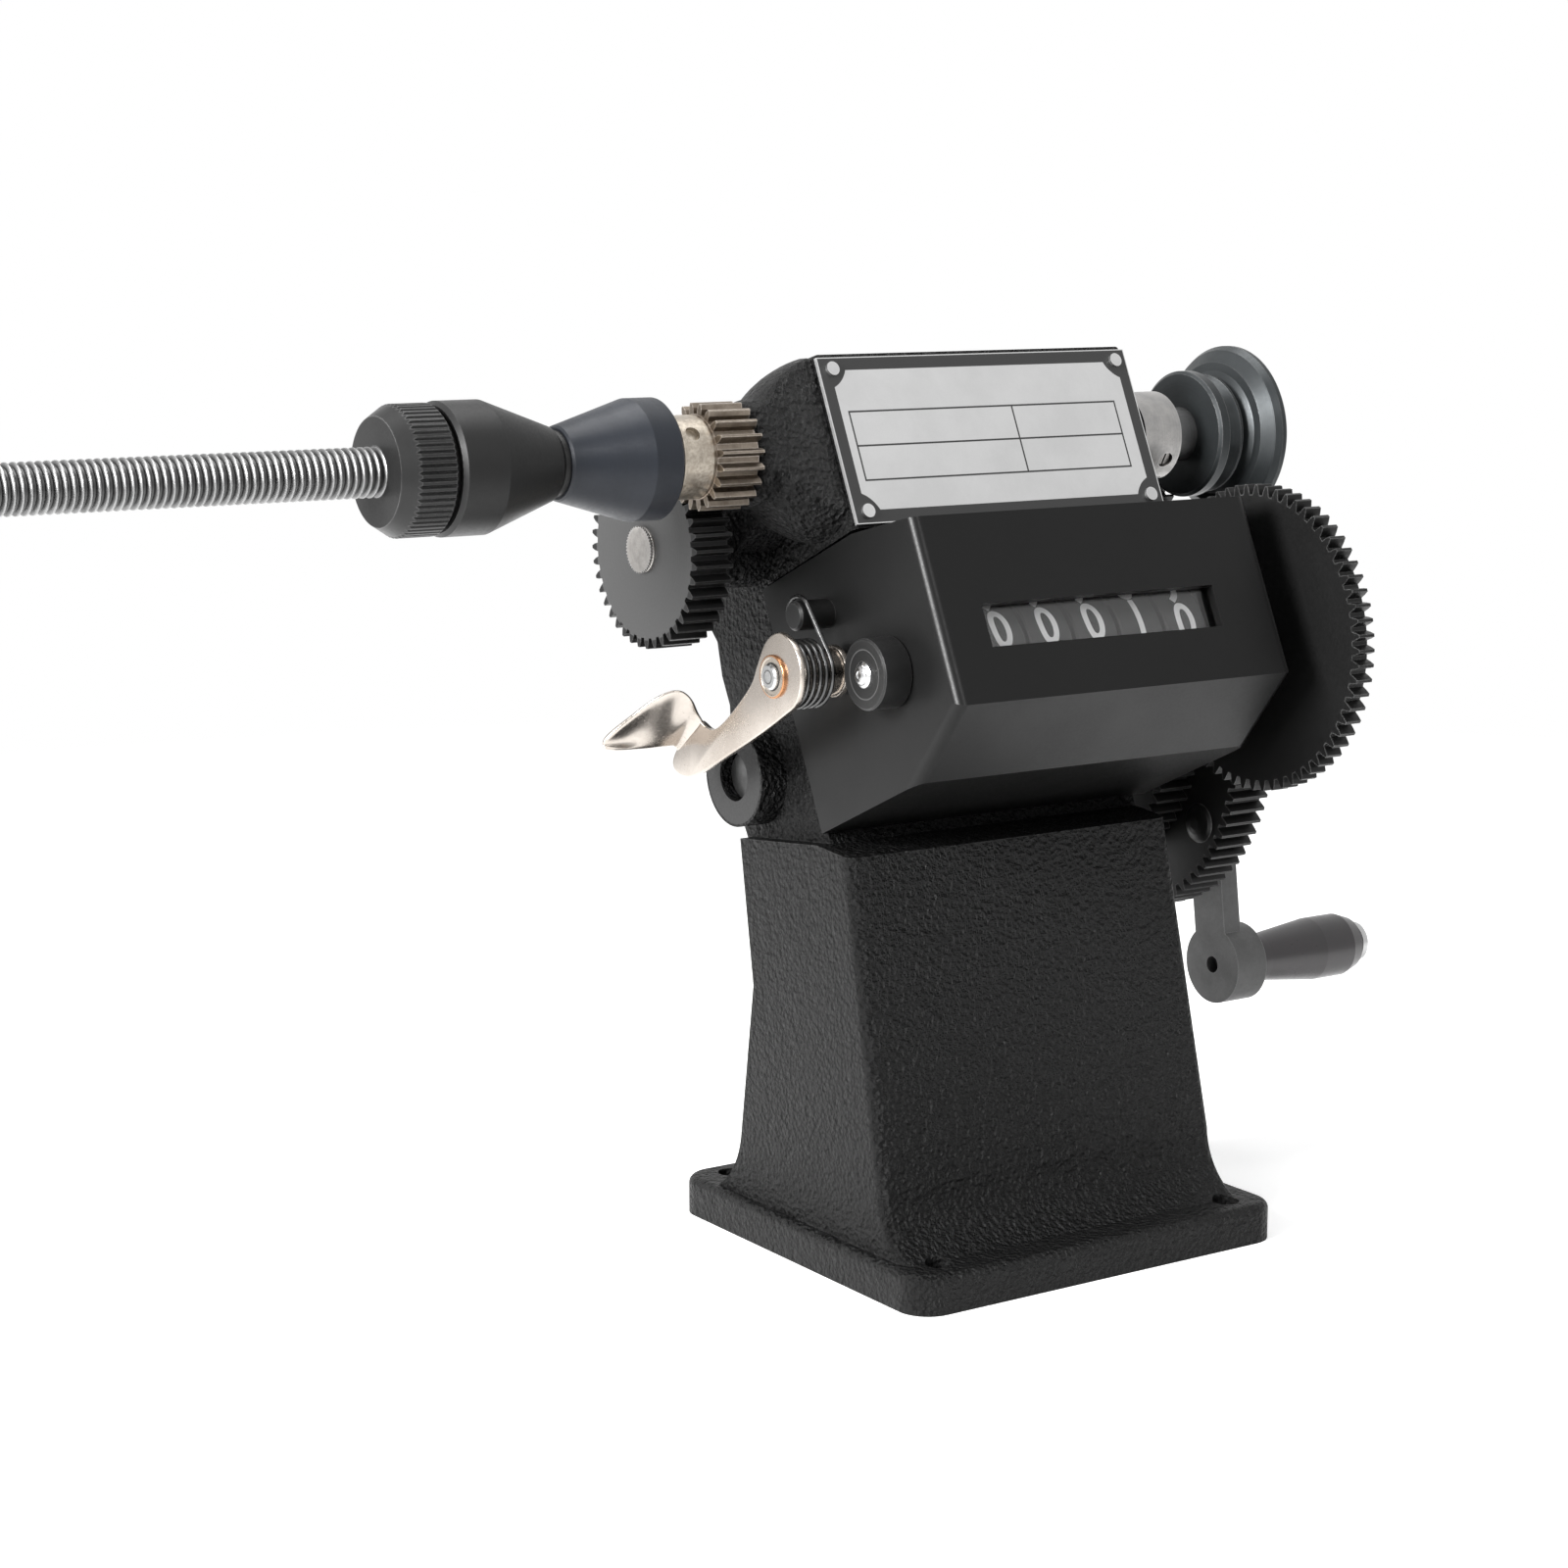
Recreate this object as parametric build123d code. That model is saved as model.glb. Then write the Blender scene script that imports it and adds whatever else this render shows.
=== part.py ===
from build123d import *
import math
import os

# Hand-cranked coil winder. Millimetres, +X to the right along the spindle, +Y to the back, +Z up.
# The origin is on the underside of the base, below the middle of the column.
os.makedirs("parts", exist_ok=True)

# Driving dimensions: casting
base_length = 98.5
base_middle_x = 1.6
base_middle_y = 3.5
base_depth = 93.0
base_thickness = 8.5
base_corner = 7.0
base_hole_inset_x = 10.05
base_hole_inset_y = 7.0
base_hole_radius = 3.0
column_left = -45.0
column_right_top = 41.0
column_right_foot = 46.0
column_foot_back = 38.5
column_corner = 2.5
head_half_width = 41.5
head_top = 193.5
head_crown = (19.4, 190.0)
head_knuckle = (25.0, 188.0)
head_shoulder = (28.8, 184.5)
head_heel = (45.9, 133.8)
neck_step = (41.9, 129.9)
neck_dip = (40.0, 122.5)
neck_back = 36.9
neck_z = 116.4
pad_lean = 24.6
pad_setback = 21.7
column_front_top = -13.5
column_front_bottom = -26.0
column_flare = 13.5
column_back = 27.6
column_back_z = 88.7
column_waist = 22.5
edge_round = 1.8
ear_radius = 11.0
ear_face = 48.0
spindle_nose_radius = 11.2
spindle_nose_gap = 0.5
spindle_flare_start = 55.1
spindle_flare_middle = 49.0
spindle_flare_radius = 16.1
spindle_root_radius = 19.3
spindle_boss_setback = 0.5
spindle_boss_round = 2.0
boss_web_face = 51.5
boss_web_spindle = 9.5
boss_web_lay = 6.5
lay_boss_radius = 9.5
lay_boss_face_left = 58.9
lay_boss_face_right = 57.5

# Driving dimensions: shafts and gears
gear_module = 1.0
gear_backlash = 0.14
spindle_y = 7.0
spindle_z = 173.5
lay_angle = -43.6
crank_angle = -93.7
counter_angle = 151.2
spindle_teeth = 20
lay_teeth = 40
lay_pinion_teeth = 20
crank_teeth = 80
crank_pinion_teeth = 52
counter_teeth = 65
running_clearance = 0.05
spindle_radius = 6.0
lay_radius = 4.85
crank_radius = 5.35
counter_radius = 2.7

# Driving dimensions: spindle group
thread_radius = 4.9
thread_depth = 0.75
thread_pitch = 1.6
thread_left = -236.0
pinion_left = -69.2
pinion_width = 9.9
pinion_hub_radius = 8.6
pinion_hub_length = 9.5
pinion_screw_angle = 142
inner_cone_length = 23.3
outer_cone_length = 25.3
cone_gap = 1.7
cone_small_radius = 7.6
inner_cone_radius = 12.4
inner_cone_rim = 6.9
outer_cone_radius = 13.2
outer_cone_rim = 9.8
nut_radius = 12.9
nut_length = 12.3
nut_nose_length = 3.6
nut_nose_depth = 2.2
nut_chamfer = 1.6
nut_flutes = 60
nut_flute_depth = 0.45
collar_radius = 9.8
collar_right = 52.2
set_screw_radius = 1.6
pulley_left = 59.9
pulley_small_radius = 14.1
pulley_big_radius = 19.4
pulley_width = 15.5

# Driving dimensions: counter
box_left = -43.0
box_right = 45.0
box_wall = 2.0
box_edge = 2.2
box_top_y = -32.0
box_top_z = 163.0
box_top_u = 21.0
box_top_v = 4.0
box_back_v = 4.5
box_gap = 0.8
box_depth = 57.0
box_bevel_v = -39.6
box_bevel_u = 20.0
box_bottom_v = -49.8
shelf_gap = 2.4
window_left = -31.4
window_right = 29.2
window_top = -19.1
window_bottom = -28.2
pane_thickness = 1.2
wheel_radius = 14.6
wheel_width = 11.0
wheel_pitch = 12.0
wheel_first = -25.0
wheel_count = 5
bushing_radius = 7.3
bushing_length = 7.0
lever_y = -8.3
lever_z = 129.5
post_y = -2.6
post_z = 140.7
post_radius = 3.1
post_length = 8.6

# Driving dimensions: lever and spring
lever_outer = -60.0
lever_thickness = 1.6
lever_hub_radius = 5.6
lever_end_radius = 9.2
lever_hub_gap = 1.5
lever_pin_radius = 2.7
tab_length = 20.0
spring_turns = 5
spring_wire = 1.0
spring_pitch = 1.5
spring_radius = 6.75
spring_clearance = 0.35

# Driving dimensions: crank
crank_gear_left = 59.7
crank_gear_width = 10.3
crank_pinion_width = 9.0
lay_gear_width = 9.0
lay_end = 0.9
counter_gear_left = 53.6
counter_gear_width = 4.3
gear_side_gap = 0.5
lay_pinion_right = 69.2
arm_left = 83.0
arm_thickness = 5.0
arm_width = 10.5
arm_reach = 57.5
arm_angle = -97.7
arm_hub_radius = 9.0
grip_boss_radius = 9.3
grip_boss_width = 9.0
grip_length = 35.0
grip_small_radius = 5.4
grip_big_radius = 7.6
grip_pin_radius = 3.0
grip_gap = 0.4
rivet_radius = 4.6
rivet_clearance = 0.4
rivet_reach = 33.0
rivet_angle = -149.0

# Driving dimensions: plate
plate_margin = 0.5
plate_height = 36.6
plate_thickness = 0.8
plate_rivet_radius = 1.5
plate_rivet_inset_x = 3.25
plate_rivet_inset_v = 2.65


def save(solid, name):
    export_step(solid, "parts/" + name + ".step")


def polar(y, z, angle, distance):
    return (y + distance * math.cos(math.radians(angle)), z + distance * math.sin(math.radians(angle)))


def rod_x(centre, left, right, radius):
    seat = Plane(origin=(left, centre[0], centre[1]), x_dir=(0, 1, 0), z_dir=(1, 0, 0))
    return extrude(seat * Circle(radius), amount=right - left)


def tube_x(centre, left, right, outer, inner):
    return rod_x(centre, left, right, outer) - rod_x(centre, left, right, inner)


def prism_x(outline, left, right):
    face = make_face(Plane.YZ.offset(left) * outline)
    return extrude(face, amount=right - left, dir=(1, 0, 0))


def turned(centre, profile):
    # profile holds (x, radius) pairs from left to right, closed along the axis
    points = [(profile[0][0], 0)] + list(profile) + [(profile[-1][0], 0)]
    face = make_face(Polyline(*points, close=True))
    solid = revolve(face, Axis.X, 360)
    return Pos(0, centre[0], centre[1]) * solid


def uv(u, v):
    # the counter's own square directions: u back into the casting, v up its front
    lean = math.radians(pad_lean)
    y = box_top_y + u * math.cos(lean) + v * math.sin(lean)
    z = box_top_z - u * math.sin(lean) + v * math.cos(lean)
    return (y, z)


def outline(points):
    return Polyline(*points, close=True)


# Shaft centres as (y, z), each set from the one that drives it
spindle = (spindle_y, spindle_z)
lay = polar(*spindle, lay_angle, gear_module * (spindle_teeth + lay_teeth) / 2)
crank = polar(*lay, crank_angle, gear_module * (lay_pinion_teeth + crank_teeth) / 2)
counter = polar(*crank, counter_angle, gear_module * (crank_pinion_teeth + counter_teeth) / 2)
lever_axis = (lever_y, lever_z)
post = (post_y, post_z)


# Gears
def tooth_half_angle(teeth, radius):
    pressure = math.radians(20)
    pitch = gear_module * teeth / 2
    base = pitch * math.cos(pressure)
    local = math.acos(base / max(radius, base))
    involute = math.tan(pressure) - pressure - math.tan(local) + local
    return math.pi / (2 * teeth) + involute - gear_backlash / 2 / pitch


def gear_x(centre, teeth, left, width, tooth_at):
    pitch = gear_module * teeth / 2
    radii = [pitch - 1.25 * gear_module, pitch, pitch + gear_module]
    points = []
    for tooth in range(teeth):
        middle = math.radians(tooth_at) + 2 * math.pi * tooth / teeth
        rising = [(r, middle - tooth_half_angle(teeth, r)) for r in radii]
        falling = [(r, middle + tooth_half_angle(teeth, r)) for r in reversed(radii)]
        for r, angle in rising + falling:
            points.append((centre[0] + r * math.cos(angle), centre[1] + r * math.sin(angle)))
    return prism_x(outline(points), left, left + width)


def gap_at(teeth, angle):
    # the tooth angle that puts a gap at the given angle
    return angle + 180 / teeth


# Frame casting
def make_base():
    base = Box(base_length, base_depth, base_thickness, align=(Align.CENTER, Align.CENTER, Align.MIN))
    base = fillet(base.edges().filter_by(Axis.Z), base_corner)
    base = fillet(base.edges().group_by(Axis.Z)[-1], edge_round)
    return Pos(base_middle_x, base_middle_y, 0) * base


def make_column():
    # side view, with a flare down to the base at the front and the back
    root_z = base_thickness - 1
    foot_front = base_middle_y - base_depth / 2 + 4.5
    foot_back = column_foot_back
    flare_z = base_thickness + column_flare
    shelf = uv(box_depth, box_bottom_v - shelf_gap)
    front_bottom = (column_front_bottom, flare_z)
    back_bottom = (column_waist + 5, flare_z)
    side = Curve() + [
        ThreePointArc((foot_front, root_z), (column_front_bottom - 2.5, flare_z - 8.5), front_bottom),
        Polyline(front_bottom, (column_front_top, shelf[1] - 1), shelf, (column_back, column_back_z),
                 (column_waist, (shelf[1] + flare_z) / 2), back_bottom),
        ThreePointArc(back_bottom, (column_waist + 8.5, flare_z - 8.5), (foot_back, root_z)),
        Line((foot_back, root_z), (foot_front, root_z)),
    ]
    column = prism_x(side, column_left, column_right_foot)
    # upright at the left and leaning in at the right
    front = outline([(column_left, root_z), (column_right_foot, root_z),
                     (column_right_top, shelf[1] + 1), (column_left, shelf[1] + 1)])
    column &= extrude(make_face(Plane.XZ.offset(-base_depth) * front), amount=2 * base_depth)
    ends = column.faces().sort_by(Axis.X)
    uprights = ends[0].edges() + ends[-1].edges()
    fronts = [e for e in uprights if e.center().Y < column_front_top - 2 and e.center().Z > base_thickness + 1]
    return fillet(fronts, column_corner)


def pad_point(z):
    # where the leaning pad of the name plate reaches this height
    lean = math.radians(pad_lean)
    return uv(pad_setback, (z - box_top_z + pad_setback * math.sin(lean)) / math.cos(lean))


def make_head():
    side = outline([
        uv(box_depth, box_bottom_v - shelf_gap - 4), uv(box_depth, box_back_v + box_gap),
        uv(pad_setback, box_back_v + box_gap), pad_point(head_top), head_crown, head_knuckle,
        head_shoulder, head_heel, neck_step, neck_dip, (neck_back, neck_z),
        (neck_back - 1, neck_z - 18), (column_back, neck_z - 32),
    ])
    head = prism_x(side, -head_half_width, head_half_width)
    rims = [e for e in head.edges().filter_by(Axis.X, reverse=True) if e.center().Z > box_top_z]
    return fillet(rims, edge_round)


def make_spindle_boss():
    # a hump that flares from the pinion's size out to the head's side
    left = pinion_left + pinion_width + spindle_nose_gap
    start = (-spindle_flare_start, spindle_nose_radius)
    root = (-head_half_width, spindle_root_radius)
    side = Curve() + [
        Polyline((-head_half_width, 0), (left, 0), (left, spindle_nose_radius), start),
        ThreePointArc(start, (-spindle_flare_middle, spindle_flare_radius), root),
        Line(root, (-head_half_width, 0)),
    ]
    boss = Pos(0, spindle[0], spindle[1]) * revolve(make_face(side), Axis.X, 360)
    # its front is cut flat, so that it stays behind the name plate
    front = pad_setback + spindle_boss_setback
    reach = 3 * spindle_root_radius
    boss -= slab(front - reach, front, left - 1, -head_half_width + 1, -reach, reach)
    corners = [e for e in boss.edges() if e.center().X < -head_half_width - 0.5 and e.length > spindle_nose_radius]
    return fillet(corners, spindle_boss_round)


def make_boss_web():
    # joins the spindle and layshaft bosses on the left side
    across = lay_angle + 90
    corners = [polar(*spindle, across, boss_web_spindle), polar(*lay, across, boss_web_lay),
               polar(*lay, across, -boss_web_lay), polar(*spindle, across, -boss_web_spindle)]
    return prism_x(outline(corners), -boss_web_face, -head_half_width)


def make_frame():
    body = make_base() + make_column() + make_head()
    crank_boss_face = crank_gear_left - crank_pinion_width - gear_side_gap
    body += make_spindle_boss() + make_boss_web()
    body += rod_x(lay, -lay_boss_face_left, -head_half_width, lay_boss_radius)
    body += rod_x(lay, head_half_width, lay_boss_face_right, lay_boss_radius)
    body += rod_x(crank, -ear_face, -head_half_width, ear_radius)
    body += rod_x(crank, head_half_width, crank_boss_face, ear_radius)
    for centre, radius in ((spindle, spindle_radius), (lay, lay_radius), (crank, crank_radius)):
        body -= rod_x(centre, -base_length, base_length, radius + running_clearance)
    # room for the counter box, which the round bosses would reach into
    body -= prism_x(box_outline(), box_left - 2, box_right + 2)
    for x in (-1, 1):
        for y in (-1, 1):
            hole_x = base_middle_x + x * (base_length / 2 - base_hole_inset_x)
            hole_y = base_middle_y + y * (base_depth / 2 - base_hole_inset_y)
            body -= Pos(hole_x, hole_y, base_thickness / 2) * Cylinder(base_hole_radius, base_thickness * 4)
    return body


# Counter box
def box_outline():
    corners = [(0, 0), (box_top_u, box_top_v), (box_depth, box_back_v), (box_depth, box_bottom_v),
               (box_bevel_u, box_bottom_v), (0, box_bevel_v)]
    return outline([uv(u, v) for u, v in corners])


def box_cavity_outline():
    back = box_depth - box_wall
    low = box_bottom_v + box_wall
    corners = [(box_wall, -box_wall), (box_top_u, box_top_v - box_wall), (back, box_back_v - box_wall),
               (back, low), (box_bevel_u + box_wall / 2, low), (box_wall, box_bevel_v + box_wall / 2)]
    return outline([uv(u, v) for u, v in corners])


def slab(u_front, u_back, left, right, v_low, v_high):
    # a block square to the counter's leaning front
    corners = [uv(u_front, v_low), uv(u_back, v_low), uv(u_back, v_high), uv(u_front, v_high)]
    return prism_x(outline(corners), left, right)


def make_box():
    shell = prism_x(box_outline(), box_left, box_right)
    ends = shell.faces().sort_by(Axis.X)[0].edges() + shell.faces().sort_by(Axis.X)[-1].edges()
    front = uv(box_top_u / 2, 0)[0]
    rounded = [e for e in ends if e.center().Y < front]
    shell = fillet(rounded, box_edge)
    shell -= prism_x(box_cavity_outline(), box_left + box_wall, box_right - box_wall)
    shell -= slab(-1, box_wall + 1, window_left, window_right, window_bottom, window_top)
    shell -= rod_x(counter, box_left - 5, box_right + 5, counter_radius + running_clearance)
    shell -= rod_x(lever_axis, box_left - 5, box_left + box_wall + 1, lever_pin_radius)
    shell -= rod_x(post, box_left - 5, box_left + box_wall + 1, post_radius - 0.6)
    return shell


def make_pane():
    rim = 1.5
    back = box_wall + pane_thickness
    return slab(box_wall, back, window_left - rim, window_right + rim, window_bottom - rim, window_top + rim)


def make_wheel(index):
    middle = wheel_first + index * wheel_pitch
    left = middle - wheel_width / 2
    wheel = rod_x(counter, left, left + wheel_width, wheel_radius)
    wheel = chamfer(wheel.edges().filter_by(GeomType.CIRCLE), 0.4)
    wheel -= rod_x(counter, left - 1, left + wheel_width + 1, counter_radius + wheel_clearance(index))
    return wheel


def wheel_clearance(index):
    # the last wheel is fixed on the shaft, the others turn on it
    return 0 if index == wheel_count - 1 else running_clearance


# Spindle group
def make_spindle_shaft():
    points = [(thread_left, thread_radius - thread_depth - 0.6), (thread_left + 0.9, thread_radius - thread_depth)]
    right = pinion_left - pinion_hub_length
    turns = int((right - thread_left - 2) / thread_pitch)
    for turn in range(turns):
        start = thread_left + 1 + turn * thread_pitch
        points.append((start + 0.2 * thread_pitch, thread_radius - thread_depth))
        points.append((start + 0.5 * thread_pitch, thread_radius))
        points.append((start + 0.65 * thread_pitch, thread_radius))
        points.append((start + 0.95 * thread_pitch, thread_radius - thread_depth))
    points.append((right, thread_radius - thread_depth))
    points.append((right, spindle_radius))
    end = pulley_left + pulley_width + 1
    points += [(end - 0.6, spindle_radius), (end, spindle_radius - 0.6)]
    return turned(spindle, points)


def make_spindle_pinion():
    mesh = lay_angle
    teeth = gear_x(spindle, spindle_teeth, pinion_left, pinion_width, mesh)
    hub = rod_x(spindle, pinion_left - pinion_hub_length, pinion_left, pinion_hub_radius)
    hub = chamfer(hub.edges().filter_by(GeomType.CIRCLE).sort_by(Axis.X)[0], 0.6)
    whole = teeth + hub
    right = pinion_left + pinion_width
    whole -= rod_x(spindle, pinion_left - pinion_hub_length - 1, right + 1, spindle_radius)
    screw_x = pinion_left - pinion_hub_length / 2
    return whole - radial_hole(spindle, screw_x, pinion_screw_angle, pinion_hub_radius, set_screw_radius, 1.2)


def radial_hole(centre, x, angle, radius, hole, depth):
    tip = polar(*centre, angle, radius)
    inward = (0, -math.cos(math.radians(angle)), -math.sin(math.radians(angle)))
    seat = Plane(origin=(x, tip[0], tip[1]), z_dir=inward)
    return extrude(seat.offset(-1) * Circle(hole), amount=depth + 1)


def make_cone(left, right, rim, radius, small, big_left):
    chamfered = 0.8
    if big_left:
        line = [(left, radius - chamfered), (left + chamfered, radius), (left + rim, radius),
                (right - 0.4, small), (right, small - 0.4)]
    else:
        line = [(left, small - 0.4), (left + 0.4, small), (right - rim, radius),
                (right - chamfered, radius), (right, radius - chamfered)]
    bore = rod_x(spindle, left - 1, right + 1, thread_radius + running_clearance)
    return turned(spindle, line) - bore


def make_nut(left):
    points = []
    for flute in range(nut_flutes):
        for share, depth in ((0.0, 0.0), (0.4, 0.0), (0.7, nut_flute_depth)):
            angle = 360 * (flute + share) / nut_flutes
            points.append(polar(*spindle, angle, nut_radius - depth))
    body = prism_x(outline(points), left, left + nut_length)
    line = [(left, nut_radius - nut_nose_depth), (left + nut_nose_length, nut_radius + 0.1),
            (left + nut_length - nut_chamfer, nut_radius + 0.1), (left + nut_length, nut_radius - nut_chamfer)]
    body = body & turned(spindle, line)
    return body - rod_x(spindle, left - 1, left + nut_length + 1, thread_radius + running_clearance)


def make_collar():
    left = head_half_width + gear_side_gap
    ring = tube_x(spindle, left, collar_right, collar_radius, spindle_radius)
    ring = chamfer(ring.edges().filter_by(GeomType.CIRCLE).sort_by(Axis.X)[-1], 0.5)
    return ring - radial_hole(spindle, collar_right - 3.4, -150, collar_radius, set_screw_radius + 0.2, 3)


def make_pulley():
    x = pulley_left
    small = pulley_small_radius
    big = pulley_big_radius
    line = [(x, small - 0.7), (x + 0.6, small), (x + 2.8, small), (x + 4.6, small - 2.4), (x + 6.8, small - 0.9),
            (x + 7.4, small - 0.9), (x + 8.6, small - 3), (x + 10.0, small - 0.2), (x + 10.2, big - 3.6),
            (x + 12.2, big - 0.9), (x + 13.6, big), (x + pulley_width - 0.8, big), (x + pulley_width, big - 0.8)]
    return turned(spindle, line) - rod_x(spindle, x - 1, x + pulley_width + 1, spindle_radius)


# Lever group
def by_lever(back, down):
    return (lever_y + back, lever_z - down)


def make_lever():
    inner = lever_outer + lever_thickness
    rear = polar(*lever_axis, 45, lever_end_radius)
    front = polar(*lever_axis, 225, lever_end_radius)
    low = by_lever(32.5, 25.7)
    heel = by_lever(39.3, 21.5)
    notch = by_lever(23.9, 14.1)
    arm = Curve() + [
        ThreePointArc(rear, polar(*lever_axis, 135, lever_end_radius), front),
        Polyline(front, by_lever(14.8, 17.3), low),
        ThreePointArc(low, by_lever(37.5, 25.1), heel),
        Polyline(heel, by_lever(38.8, 19.2), by_lever(29.5, 12.5), notch),
        Polyline(notch, by_lever(18.8, 9.9), rear),
    ]
    plate = prism_x(arm, lever_outer, inner)
    hub = rod_x(lever_axis, lever_outer, box_left - lever_hub_gap, lever_hub_radius)
    lever = plate + hub + make_tab()
    return lever - rod_x(lever_axis, lever_outer - 1, box_left, lever_pin_radius + running_clearance)


def make_tab():
    # the thumb leaf bends out of the plate and cups upwards at its front edge
    low = by_lever(38.8, 19.2)
    high = by_lever(29.5, 12.5)
    crest = by_lever(26.5, 6.1)
    rim = by_lever(27.9, 5.7)
    bend = by_lever(30.5, 11.3)
    back = by_lever(39.7, 18.0)
    leaf = Curve() + [
        Line(low, high),
        ThreePointArc(high, by_lever(26.9, 9.9), crest),
        Line(crest, rim),
        ThreePointArc(rim, by_lever(28.5, 9.1), bend),
        Polyline(bend, back, low),
    ]
    root = lever_outer + lever_thickness
    tip = lever_outer - tab_length
    strip = prism_x(leaf, tip, root)
    front_y = lever_y + 25
    back_y = lever_y + 41
    straight = lever_outer - tab_length * 0.35
    plan = Curve() + [
        Polyline((straight, front_y), (root, front_y), (root, back_y), (straight, back_y)),
        ThreePointArc((straight, back_y), (tip + 2.6, back_y - 2.4), (tip, lever_y + 35)),
        ThreePointArc((tip, lever_y + 35), (tip + 5, front_y + 3.6), (straight, front_y)),
    ]
    cutter = extrude(make_face(Pos(0, 0, lever_z - 40) * plan), amount=50, dir=(0, 0, 1))
    return strip & cutter


def make_lever_pin():
    right = box_left + box_wall
    pin = rod_x(lever_axis, lever_outer - 1.6, right, lever_pin_radius)
    return chamfer(pin.edges().filter_by(GeomType.CIRCLE).sort_by(Axis.X)[0], 0.4)


def make_post():
    left = box_left - post_length
    post_body = rod_x(post, left, box_left, post_radius)
    post_body = chamfer(post_body.edges().filter_by(GeomType.CIRCLE).sort_by(Axis.X)[0], 0.5)
    return post_body + rod_x(post, box_left, box_left + box_wall, post_radius - 0.6)


def biarc(start, start_way, end, end_way):
    # two tangent arcs from one point and direction to another
    chord = end - start
    both = start_way + end_way
    gap = 2 * (1 - start_way.dot(end_way))
    reach = (math.sqrt(chord.dot(both) ** 2 + gap * chord.dot(chord)) - chord.dot(both)) / gap
    middle = (start + end + (start_way - end_way) * reach) * 0.5
    way = (middle - (start + start_way * reach)).normalized()
    return [TangentArc(start, middle, tangent=start_way), TangentArc(middle, end, tangent=way)]


def make_spring():
    hook_radius = post_radius + spring_wire / 2 + spring_clearance
    distance = math.dist(lever_axis, post)
    toward = math.degrees(math.atan2(post[1] - lever_axis[1], post[0] - lever_axis[0]))
    start_angle = toward + math.degrees(math.acos((spring_radius - hook_radius) / distance))
    length = spring_turns * spring_pitch
    inner = lever_outer + lever_thickness
    right = inner + spring_wire / 2 + spring_clearance + length

    def flat_point(centre, radius, angle, x):
        place = polar(*centre, angle, radius)
        return Vector(x, place[0], place[1])

    def flat_way(angle):
        return Vector(0, -math.sin(math.radians(angle)), math.cos(math.radians(angle)))

    def coil_point(turn):
        angle = start_angle + 360 * turn
        return flat_point(lever_axis, spring_radius, angle, right - spring_pitch * turn)

    def coil_way(turn):
        slope = spring_pitch / (2 * math.pi * spring_radius)
        return (flat_way(start_angle + 360 * turn) + Vector(-slope, 0, 0)).normalized()

    hook_start = flat_point(post, hook_radius, 20, right)
    lead = hook_start - flat_way(20) * spring_wire
    hook_top = flat_point(post, hook_radius, 80, right)
    hook_end = flat_point(post, hook_radius, start_angle, right)
    leg_end = flat_point(lever_axis, spring_radius, start_angle, right)
    path = [Line(lead, hook_start), ThreePointArc(hook_start, hook_top, hook_end), Line(hook_end, leg_end)]
    quarters = int(spring_turns * 4)
    point = leg_end
    way = flat_way(start_angle)
    for quarter in range(1, quarters + 1):
        next_point = coil_point(quarter / 4)
        next_way = coil_way(quarter / 4)
        path += biarc(point, way, next_point, next_way)
        point = next_point
        way = next_way
    path.append(Line(point, point + way * 3 * spring_wire))
    wire = Wire([edge for piece in path for edge in piece.edges()])
    section = Plane(origin=lead, z_dir=flat_way(20)) * Circle(spring_wire / 2)
    report_spring_gap([wire.position_at(share / 1600) for share in range(1601)])
    return sweep(section, path=wire)


def report_spring_gap(points):
    # least gap between parts of the wire that are more than half a turn apart
    step = math.dist(tuple(points[0]), tuple(points[1]))
    apart = int(math.pi * spring_radius / step)
    gap = min(math.dist(tuple(points[i]), tuple(points[j]))
              for i in range(0, len(points), 4) for j in range(i + apart, len(points), 4))
    print("spring: least gap to itself", round(gap - spring_wire, 3), "mm")


# Crank group
def make_crank_shaft():
    line = [(-ear_face + 2.6, crank_radius - 0.5), (-ear_face + 3.1, crank_radius),
            (arm_left + arm_thickness, crank_radius), (arm_left + arm_thickness + 0.8, crank_radius - 0.8)]
    return turned(crank, line)


def make_arm():
    end = polar(*crank, arm_angle, arm_reach)
    right = arm_left + arm_thickness
    hub = rod_x(crank, crank_gear_left + crank_gear_width, right, arm_hub_radius)
    boss = rod_x(end, arm_left, arm_left + grip_boss_width, grip_boss_radius)
    half = arm_width / 2
    side = arm_angle + 90
    points = [polar(*polar(*crank, side, half), arm_angle, 0), polar(*polar(*end, side, half), arm_angle, 0),
              polar(*polar(*end, side, -half), arm_angle, 0), polar(*polar(*crank, side, -half), arm_angle, 0)]
    web = prism_x(outline(points), arm_left, right)
    arm = hub + boss + web
    arm -= rod_x(crank, crank_gear_left, right + 1, crank_radius)
    arm -= rod_x(end, arm_left - 1, arm_left + 4, 2.0)
    return arm - rod_x(end, arm_left + 3, arm_left + grip_boss_width + 1, grip_pin_radius)


def make_grip_pin():
    end = polar(*crank, arm_angle, arm_reach)
    left = arm_left + 3
    right = arm_left + grip_boss_width + grip_length + 2 * grip_gap
    shank = rod_x(end, left, right, grip_pin_radius)
    head = rod_x(end, right, right + 2.2, grip_pin_radius + 1.8)
    head = chamfer(head.edges().filter_by(GeomType.CIRCLE).sort_by(Axis.X)[-1], 0.7)
    return shank + head


def make_grip():
    end = polar(*crank, arm_angle, arm_reach)
    left = arm_left + grip_boss_width + grip_gap
    right = left + grip_length
    line = [(left, grip_small_radius - 0.4), (left + 0.4, grip_small_radius), (left + 5, grip_small_radius + 0.3),
            (left + grip_length * 0.6, grip_big_radius), (right - 5, grip_big_radius),
            (right - 1.4, grip_big_radius - 1.2), (right, grip_big_radius - 2.6)]
    return turned(end, line) - rod_x(end, left - 1, right + 1, grip_pin_radius + running_clearance)


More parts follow.
